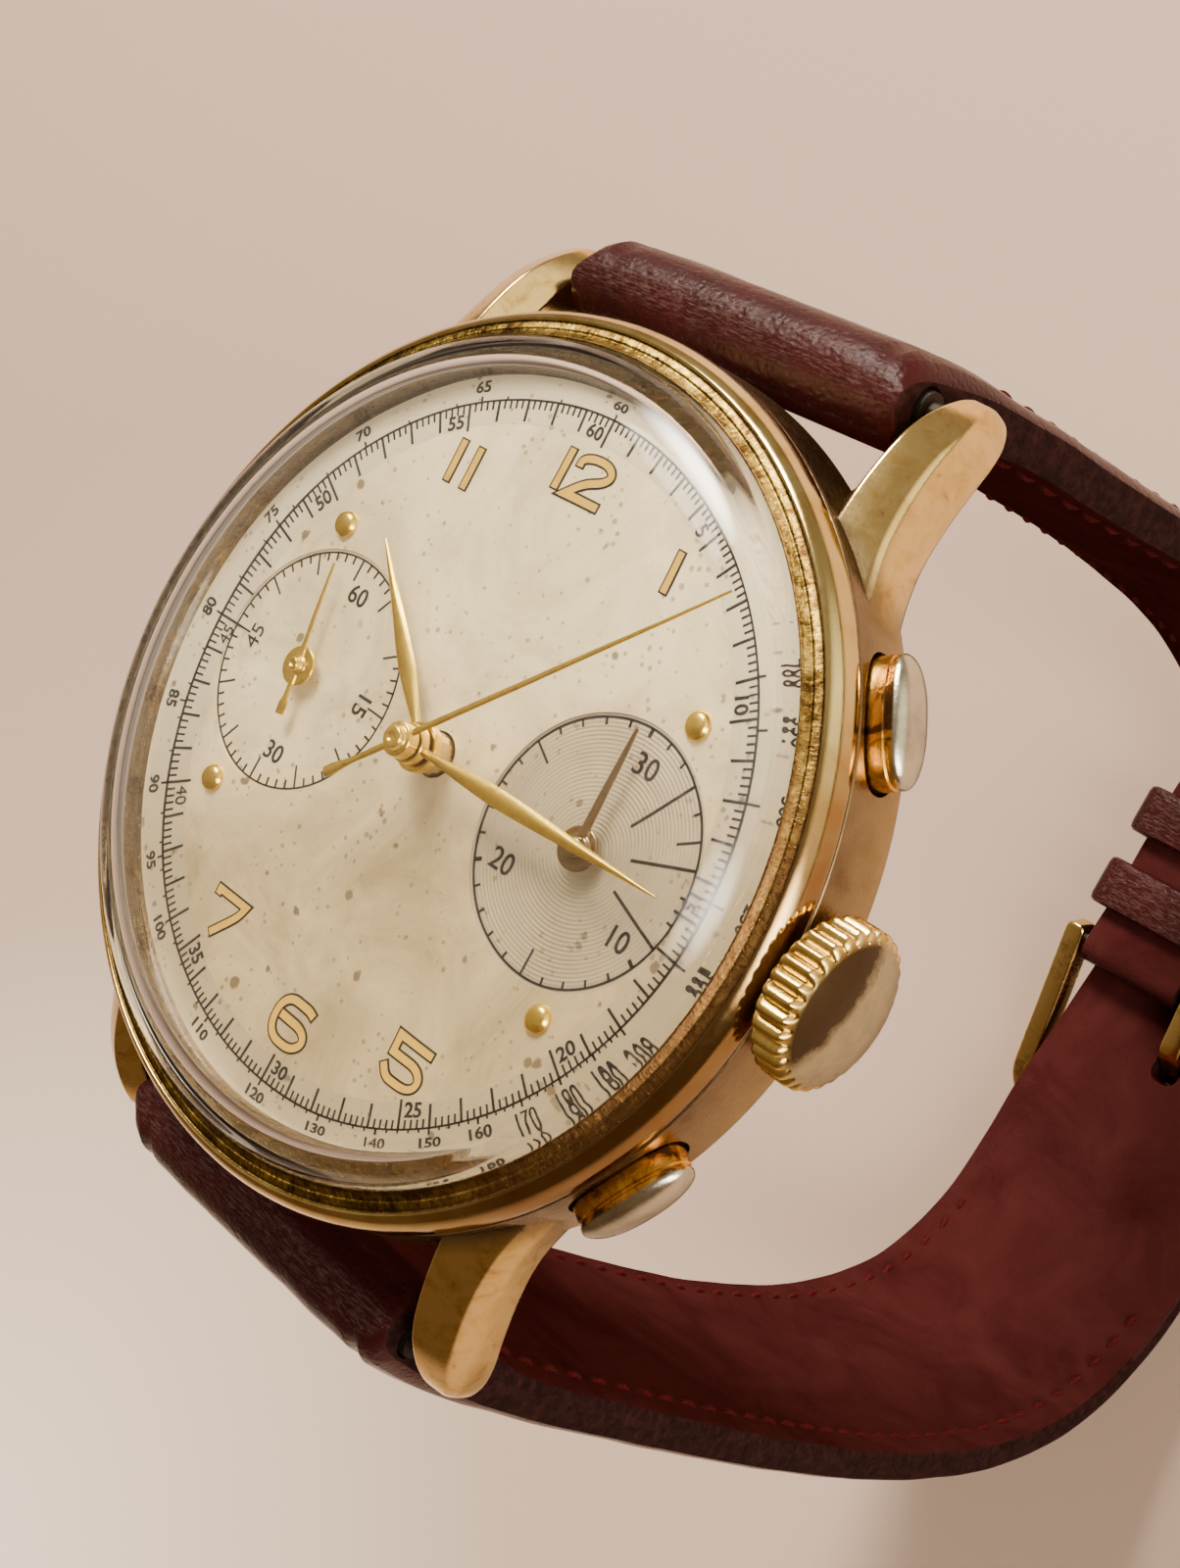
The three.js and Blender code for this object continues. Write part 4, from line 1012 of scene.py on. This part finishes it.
def build_hands():
    rows = [
        ("hour", "hour_work", leaf(9.3, 0.8, 0.4), 1.0, 0.12, (1.0, 0.62, 0.95, 1.3), 138, 0),
        ("minute", "minute_work", leaf(13.2, 0.74, 0.36), 1.6, 0.12, (0.8, 0.34, 1.45, 1.85), 1, 0),
        ("chronograph", "chronograph_work", straight(14.7, 3.7, 0.14, 0.22), 2.28, 0.07,
         (0.7, 0, 1.95, 2.75), 45.5, 0),
        ("running_seconds", "running_seconds", straight(4.4, 2.1, 0.12, 0.22), 0.62, 0.05,
         (0.45, 0, 0.5, 0.95), 101, -REGISTER_X),
        ("minute_counter", "minute_counter", [(0, 0.2), (2.4, 0.15), (4.75, 0.07)], 0.62, 0.06,
         (0.6, 0, 0.5, 0.95), 92, REGISTER_X),
    ]
    for name, body, *measures in rows:
        look, slot = (TARNISHED, "counter_hand") if name == "minute_counter" else (GILT, "gilt")
        finish(name + "_hand", "finish", hand(*measures), look, body, 40)


# ---- strap ---------------------------------------------------------------------------

STRAP_WIDE, STRAP_NARROW, STRAP_SWAY = 17.6, 16.2, 0.065
LINE_IN_Z, LINE_OUT_Z = -68.6, -71.0
STITCH_PITCH, STITCH_LONG, STITCH_INSET, STITCH_R = 1.9, 1.25, 1.5, 0.17
BAR_BORE_R, HINGE_BORE_R = 0.9, 0.65
TONGUE_HOLE_Y = HINGE_Y - 4.4     # the hole that the tongue is in
SPARE_HOLE_Y = TONGUE_HOLE_Y + 10.4
# centre lines of the two halves as (y, z), from the spring bar down
LINE_12 = [
    (BAR_Y, BAR_Z), (21.5, -10), (22.4, -20), (23.5, -33), (24.0, -46), (23.3, -57), (20.9, -64.8),
    (17.0, LINE_IN_Z), (14.8, LINE_IN_Z), (11, LINE_IN_Z), (8, LINE_IN_Z), (HINGE_Y, HINGE_Z),
]
LINE_6 = [
    (-BAR_Y, BAR_Z), (-22.1, -11), (-23.5, -22), (-24.7, -36), (-25.0, -48), (-23.8, -58), (-20.8, -64.8),
    (-15.8, -68.5), (-10.5, -69.5), (-6.6, -69.65), (-1.2, -70.5), (3, LINE_OUT_Z), (8, LINE_OUT_Z),
    (12, LINE_OUT_Z), (15, LINE_OUT_Z), (17.2, LINE_OUT_Z), (22.9, -66.4), (25.5, -58.4), (26.3, -50),
]
THICK_12 = [(0, 2.0), (0.09, 1.15), (0.6, 1.0), (0.96, 1.0), (1, 1.25)]
THICK_6 = [(0, 2.0), (0.07, 1.15), (0.6, 1.1), (0.75, 1.0), (1, 0.9)]


def sway(z):
    return STRAP_SWAY * max(0.0, BAR_Z - z)


def half_width(z):
    drop = min(1.0, max(0.0, (BAR_Z - z) / (BAR_Z - BASE_Z)))
    return lerp(STRAP_WIDE, STRAP_NARROW, drop) / 2


BASE_SWAY = sway(LINE_IN_Z)


class Line:
    """A smooth line through (y, z) points that can be walked by its share of the length."""

    def __init__(self, keys):
        self.points = [Vector(p) for p in self.centripetal([Vector(k) for k in keys], 24)]
        self.lengths = [0.0]
        for a, b in zip(self.points, self.points[1:]):
            self.lengths.append(self.lengths[-1] + (b - a).length)
        self.length = self.lengths[-1]

    @staticmethod
    def centripetal(keys, steps):
        keys = [2 * keys[0] - keys[1], *keys, 2 * keys[-1] - keys[-2]]
        made = []
        for p0, p1, p2, p3 in zip(keys, keys[1:], keys[2:], keys[3:]):
            t1 = (p1 - p0).length ** 0.5
            t2 = t1 + (p2 - p1).length ** 0.5
            t3 = t2 + (p3 - p2).length ** 0.5
            for i in range(steps):
                t = lerp(t1, t2, i / steps)
                a1 = p0.lerp(p1, t / t1)
                a2 = p1.lerp(p2, (t - t1) / (t2 - t1))
                a3 = p2.lerp(p3, (t - t2) / (t3 - t2))
                b1 = a1.lerp(a2, t / t2)
                b2 = a2.lerp(a3, (t - t1) / (t3 - t1))
                made.append(b1.lerp(b2, (t - t1) / (t2 - t1)))
        return [*made, keys[-2]]

    def at(self, share):
        """Point and unit direction at a share of the length."""
        goal = min(max(share, 0.0), 1.0) * self.length
        low, high = 0, len(self.lengths) - 1
        while high - low > 1:
            middle = (low + high) // 2
            low, high = (middle, high) if self.lengths[middle] <= goal else (low, middle)
        a, b = self.points[low], self.points[high]
        t = (goal - self.lengths[low]) / (self.lengths[high] - self.lengths[low])
        return a.lerp(b, t), (b - a).normalized()


def thickness(keys, share):
    i = 1
    while i < len(keys) - 1 and keys[i][0] < share:
        i += 1
    (u0, h0), (u1, h1) = keys[i - 1], keys[i]
    return lerp(h0, h1, smoothstep(u0, u1, share))


def section(half):
    """The strap's cross-section as (share across, share of the thickness): padded face, flat back."""
    steps = 14
    groove, wide = 1.5 / half, 0.22 / half
    face = []
    for i in range(2 * steps + 1):
        x = -1 + i / steps
        x = math.copysign(abs(x) ** 0.8, x)
        edge = min(1.0, (1 - abs(x)) * half / 1.1)
        fall = 1 - 0.42 * (1 - edge) ** 2.2
        dip = 0.13 * math.exp(-((abs(x) - (1 - groove)) / wide) ** 2)
        pad = 0.06 * (1 - abs(x) ** 4)
        face.append((x * 0.995, fall - dip + pad - 0.06))
    rim = [(1.0, 0.3), (1.0, -0.6), (0.985, -0.92)]
    back = [(0.93, -1.0), (0.4, -1.0), (-0.4, -1.0), (-0.93, -1.0)]
    return face + rim + back + [(-a, b) for a, b in reversed(rim)]


def strap_half(keys, thick, outward, stations):
    """The leather of one half. outward is the side of the line, 1 or -1, that its face looks to."""
    line = Line(keys)
    rows = []
    shares = [i / stations for i in range(stations + 1)]
    first, last = thickness(thick, 0), thickness(thick, 1)
    caps = 7
    spots = [(0.0, -first * math.sin(a), math.cos(a)) for a in
             (math.pi / 2 * (1 - (i + 0.35) / caps) for i in range(caps))]
    spots += [(u, 0.0, 1.0) for u in shares]
    spots += [(1.0, last * math.sin(a), math.cos(a)) for a in
              (math.pi / 2 * (i + 0.65) / caps for i in range(caps))]
    for share, beyond, squeeze in spots:
        p, t = line.at(share)
        p = p + t * beyond
        normal = Vector((-t.y, t.x)) * outward
        high = thickness(thick, share) * squeeze
        row = []
        for across, level in section(half_width(p.y)):
            q = p + normal * high * level
            ripple = 0.05 * noise.noise(Vector((across * 5, share * line.length * 0.35, outward)))
            q = q + normal * ripple * squeeze
            row.append((sway(q.y) + across * half_width(q.y), q.x, q.y))
        rows.append(row)
    return grid(rows, caps=True), line


def stitch(line, thick, outward, share, side, level):
    """One slanted stitch: a short arched thread, thickest in its middle."""
    rings = []
    for t in (k / 6 for k in range(7)):
        p, along = line.at(share + t * STITCH_LONG / line.length)
        normal = Vector((-along.y, along.x)) * outward
        arch = math.sin(t * math.pi)
        q = p + normal * (thickness(thick, share) * level + arch * 0.16 - 0.1)
        x = sway(q.y) + side * (half_width(q.y) - STITCH_INSET + 0.16 * (t - 0.5))
        wide = STITCH_R * (0.45 + 0.55 * arch ** 0.5)
        ring = []
        for m in range(8):
            a = 2 * math.pi * m / 8
            r = q + normal * wide * math.sin(a)
            ring.append((x + wide * math.cos(a), r.x, r.y))
        rings.append(ring)
    return grid(rings, caps=True)


def stitches(line, thick, outward, start, end, level=0.87):
    """Two rows of stitches at a share of the thickness: 0.87 is in the grooves of the face."""
    count = int((end - start) * line.length / STITCH_PITCH)
    shares = [start + i * STITCH_PITCH / line.length for i in range(count)]
    return together([stitch(line, thick, outward, share, side, level)
                     for side in (-1, 1) for share in shares])


def line_inside(made, line, outward):
    """Gives the faces that look into the loop the lining, and the upright edges their paint."""
    for look in (LINING, EDGE):
        made.data.materials.append(look)
    walk = [line.at(i / 150) for i in range(151)]
    spots = [(ORIGIN.y / MM + p.x, ORIGIN.z / MM + p.y, -t.y * outward, t.x * outward) for p, t in walk]
    for face in made.data.polygons:
        _, y, z = face.center / MM
        _, _, ny, nz = min(spots, key=lambda spot: (spot[0] - y) ** 2 + (spot[1] - z) ** 2)
        facing = face.normal.y * ny + face.normal.z * nz
        if facing < -0.6:
            face.material_index = 1
        elif abs(face.normal.x) > 0.93:
            face.material_index = 2


def oval_cutter(y, low, high):
    return shifted(prism(rounded_box(0.95, 1.3, 0.9), low, high), BASE_SWAY, y)


def block_cutter(x0, x1, y0, y1, z0, z1):
    return prism([(x0, y0), (x1, y0), (x1, y1), (x0, y1)], z0, z1)


def strap(name, keys, thick, outward, stations, cutters, start, end):
    """One half of the strap with its holes, its lining, and stitching on both faces from start to end."""
    leather_half, line = strap_half(keys, thick, outward, stations)
    for cutter in cutters:
        combine(leather_half, cutter)
    finish(name, "leather", leather_half, STRAP, sharp=50)
    line_inside(leather_half, line, outward)
    seams = [stitches(line, thick, outward, start, end), stitches(line, thick, -outward, start, end, 1.0)]
    piece(name + "_stitching", together(seams), THREAD, sharp=60)


def build_strap():
    bars = [cross_rod(BAR_BORE_R, -14, 20, y, BAR_Z) for y in (BAR_Y, -BAR_Y)]
    hinge = cross_rod(HINGE_BORE_R, -14, 20, HINGE_Y, HINGE_Z)
    room = block_cutter(BASE_SWAY - 1.1, BASE_SWAY + 1.1, HINGE_Y - 3, HINGE_Y + 2.2, -72, -66)
    strap("strap_12", LINE_12, THICK_12, 1, 130, [bars[0], hinge, room], 0.07, 0.8)
    holes = [oval_cutter(TONGUE_HOLE_Y, -74, -66), oval_cutter(SPARE_HOLE_Y, LINE_OUT_Z - 2, LINE_OUT_Z + 2)]
    strap("strap_6", LINE_6, THICK_6, -1, 170, [bars[1], *holes], 0.055, 0.56)


# ---- keepers and buckle --------------------------------------------------------------

KEEPER_LONG = 3.2
FIXED_KEEPER_Y, SLIDING_KEEPER_Y = HINGE_Y + 2.4, HINGE_Y + 7.6
KEEPER_IN_TOP, KEEPER_IN_LOW = LINE_IN_Z + 1.25, LINE_OUT_Z - 1.2
KEEPER_WALL = KEEPER_IN_LOW - BASE_Z


def keeper(y):
    """A leather loop: a flat band with softened edges round the two layers of the strap."""
    half = half_width(LINE_IN_Z) + 0.3
    middle = (KEEPER_IN_TOP + KEEPER_IN_LOW) / 2
    tall = (KEEPER_IN_TOP - KEEPER_IN_LOW) / 2
    band = [(0, 0.12), (0.12, 0), (KEEPER_LONG - 0.12, 0), (KEEPER_LONG, 0.12), (KEEPER_LONG, 0.7),
            (KEEPER_LONG - 0.15, 0.93), (KEEPER_LONG - 0.5, 1.0), (0.5, 1.0), (0.15, 0.93), (0, 0.7)]
    inner = rounded_box(half, tall, 0.5)
    outer = rounded_box(half + KEEPER_WALL, tall + KEEPER_WALL, 1.4)
    rows = []
    for (ix, iz), (ox, oz) in zip(inner, outer):
        rows.append([(BASE_SWAY + lerp(ix, ox, out), y + along, middle + lerp(iz, oz, out))
                     for along, out in band])
    return grid(rows, wrap_rows=True)


FRAME_THICK = 1.7
FRAME_ARM_X = half_width(LINE_IN_Z) + 0.4
FRAME_BAR_Y = HINGE_Y - 10.6


def frame_tilt():
    """How far the buckle frame leans, with its crossbar on the base plane."""
    reach = HINGE_Y - FRAME_BAR_Y
    tilt = 0.0
    for _ in range(8):
        half = FRAME_THICK / 2 * (math.cos(tilt) + math.sin(tilt))
        tilt = math.atan2(HINGE_Z - (BASE_Z + half), reach)
    return tilt, reach / math.cos(tilt)


def buckle_frame():
    tilt, long = frame_tilt()
    outer, corner = FRAME_ARM_X + 1.4, math.sqrt(0.5) * FRAME_THICK
    outline = rounded([
        (-outer, 0.9, 0.6), (-outer, -long + 0.6, 1.2), (-outer + 1.2, -long - corner + 0.35, 0.8),
        (outer - 1.2, -long - corner + 0.35, 0.8), (outer, -long + 0.6, 1.2), (outer, 0.9, 0.6),
        (FRAME_ARM_X, 0.9, 0.6), (FRAME_ARM_X, -long + 0.85, 0.9), (-FRAME_ARM_X, -long + 0.85, 0.9),
        (-FRAME_ARM_X, 0.9, 0.6),
    ])
    flat = prism(outline, -FRAME_THICK / 2, FRAME_THICK / 2, 0.2)
    combine(flat, cross_rod(0.45, -2 * outer, 2 * outer))
    place = Matrix.Translation((BASE_SWAY, HINGE_Y, HINGE_Z)) @ Matrix.Rotation(tilt, 4, "X")
    notch = block_cutter(BASE_SWAY - 1, BASE_SWAY + 1, FRAME_BAR_Y - 3, FRAME_BAR_Y + 3, -74, -72)
    return combine(moved(flat, place), notch)


def tongue():
    """The cranked tongue: an eye round the bar and a flattened finger with a rounded tip."""
    side = rounded([
        (0, 1.15, 0.3), (-3.6, 0.3, 0.4), (-4.15, -0.15, 0.4), (-5.5, -3.25, 0.8), (-11.5, -3.9, 0.3),
        (-11.5, -4.6, 0.3), (-5.4, -4.15, 0.8), (-4.8, -3.75, 0.5), (-3.45, -0.55, 0.5), (-0.6, -1.05, 0.4),
        (0.9, -0.75, 0.4), (1.2, 0, 0.4), (0.9, 0.85, 0.4),
    ], 4)
    flat = combine(prism(side, -0.7, 0.7, 0.16), rod(0.5, -2, 2))
    stand = Matrix(((0, 0, 1, BASE_SWAY), (1, 0, 0, HINGE_Y), (0, 1, 0, HINGE_Z), (0, 0, 0, 1)))
    return moved(flat, stand)


def build_buckle():
    finish("fixed_keeper", "leather", keeper(FIXED_KEEPER_Y), STRAP)
    finish("sliding_keeper", "leather", keeper(SLIDING_KEEPER_Y), STRAP, "sliding_keeper")
    finish("buckle_frame", "finish", buckle_frame(), GOLD)
    finish("buckle_tongue", "finish", tongue(), GOLD, "buckle_tongue")


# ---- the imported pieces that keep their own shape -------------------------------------


def finish_cad_nodes():
    looks = {"nickel": NICKEL, "wheel_brass": BRASS, "steel": STEEL}
    for row in frame["record"]["subparts"]:
        slot = row["material_slot"]
        if slot in looks:
            node = frame["nodes"][row["node"]]
            node.data.materials.clear()
            # Spring bars take the steel darkened by patina and by painted shade.
            node.data.materials.append(OLD_STEEL_IN_PAINTED_SHADE if row["node"].startswith("spring_bar") else looks[slot])


# ---- floor, light and camera ---------------------------------------------------------


def paper_floor():
    look = Look("floor_paper", (0.52, 0.39, 0.31), 0.0, 0.85, Specular_IOR_Level=0.1)
    # Painted pool of light: the floor is brightest round a point beyond 7 o'clock and darker further out.
    painted_light_pool = look.math("DIVIDE", look.radius(-70.0, -95.0), 110.0)
    look.color(look.ramp(painted_light_pool, (0.0, (0.97, 0.79, 0.66)), (0.55, (0.52, 0.385, 0.305)),
                         (1.0, (0.46, 0.33, 0.26))))
    bpy.ops.mesh.primitive_plane_add(size=4.0, location=(0, 0, 0))
    made = bpy.context.object
    made.name = "floor"
    made.data.materials.append(look.material)


def softbox(name, toward, distance, width, height, power):
    """A flat lamp at a distance from the dial, facing it, full in the middle and dark at its edges."""
    light = bpy.data.lights.new(name, "AREA")
    light.shape = "RECTANGLE"
    light.size, light.size_y = width, height
    light.energy = power
    light.color = (1.0, 0.92, 0.8)
    light.use_nodes = True
    nodes = Nodes(light.node_tree)
    spot = nodes.node("ShaderNodeNewGeometry").outputs["Parametric"]
    offset = nodes.fed(nodes.node("ShaderNodeVectorMath", ("operation", "DISTANCE")), spot, (0.5, 0.5, 0.0))
    fade = nodes.fed(nodes.node("ShaderNodeMapRange", ("interpolation_type", "SMOOTHSTEP")),
                     offset.outputs["Value"], 0.5, 0.1, 0.0, 3.2)
    nodes.link(fade.outputs[0], nodes.tree.nodes["Emission"].inputs["Strength"])
    made = in_scene(name, light)
    direction = Vector(toward).normalized()
    made.location = ORIGIN + direction * distance
    made.rotation_euler = direction.to_track_quat("Z", "Y").to_euler()


def world():
    """Tan studio walls, dim towards 6 o'clock and bright beyond the crown, for the metal to mirror."""
    made = bpy.data.worlds.new("studio")
    bpy.context.scene.world = made
    made.use_nodes = True
    nodes = Nodes(made.node_tree)
    place = nodes.node("ShaderNodeTexCoord").outputs["Generated"]

    def side(direction, *stops):
        """Tones by how nearly a ray runs in a direction."""
        toward = nodes.node("ShaderNodeVectorMath", ("operation", "DOT_PRODUCT"))
        nodes.fed(toward, place, Vector(direction).normalized())
        return nodes.ramp(toward.outputs["Value"], *stops)

    walls = side((0.25, -0.93, 0.1), (0.0, (0.5, 0.4, 0.3)), (0.6, (0.22, 0.13, 0.068)))
    window = side((0.8, 0.42, 0.2), (0.72, 0.0), (0.92, 1.0))
    background = nodes.tree.nodes["Background"]
    nodes.fed(background, nodes.mix(window, walls, (2.3, 2.0, 1.55)), 0.75)


def camera():
    """Above the crown's side and close to the dial, with 12 o'clock to the upper right."""
    eye = Vector((53.94, 8.09, 60.17))
    lens = bpy.data.cameras.new("camera")
    lens.lens, lens.sensor_width = 48.43, 36
    lens.clip_start, lens.clip_end = 0.001, 10
    right = Vector((0.6692, 0.4766, -0.5701)).normalized()
    up = Vector((-0.4188, 0.8757, 0.2404))
    back = right.cross(up).normalized()
    up = back.cross(right)
    turn = Matrix((right, up, back)).transposed().to_4x4()
    made = in_scene("camera", lens)
    made.matrix_world = Matrix.Translation(TO_FRAME @ eye) @ turn
    bpy.context.scene.camera = made


camera()
paper_floor()
world()
softbox("key_softbox", (-0.3, 0.7, 0.63), 0.55, 0.34, 0.28, 8.5)
softbox("side_softbox", (0.86, 0.0, 0.5), 0.6, 0.34, 0.78, 5.0)
build_case()
build_dial()
build_hands()
build_strap()
build_buckle()
finish_cad_nodes()
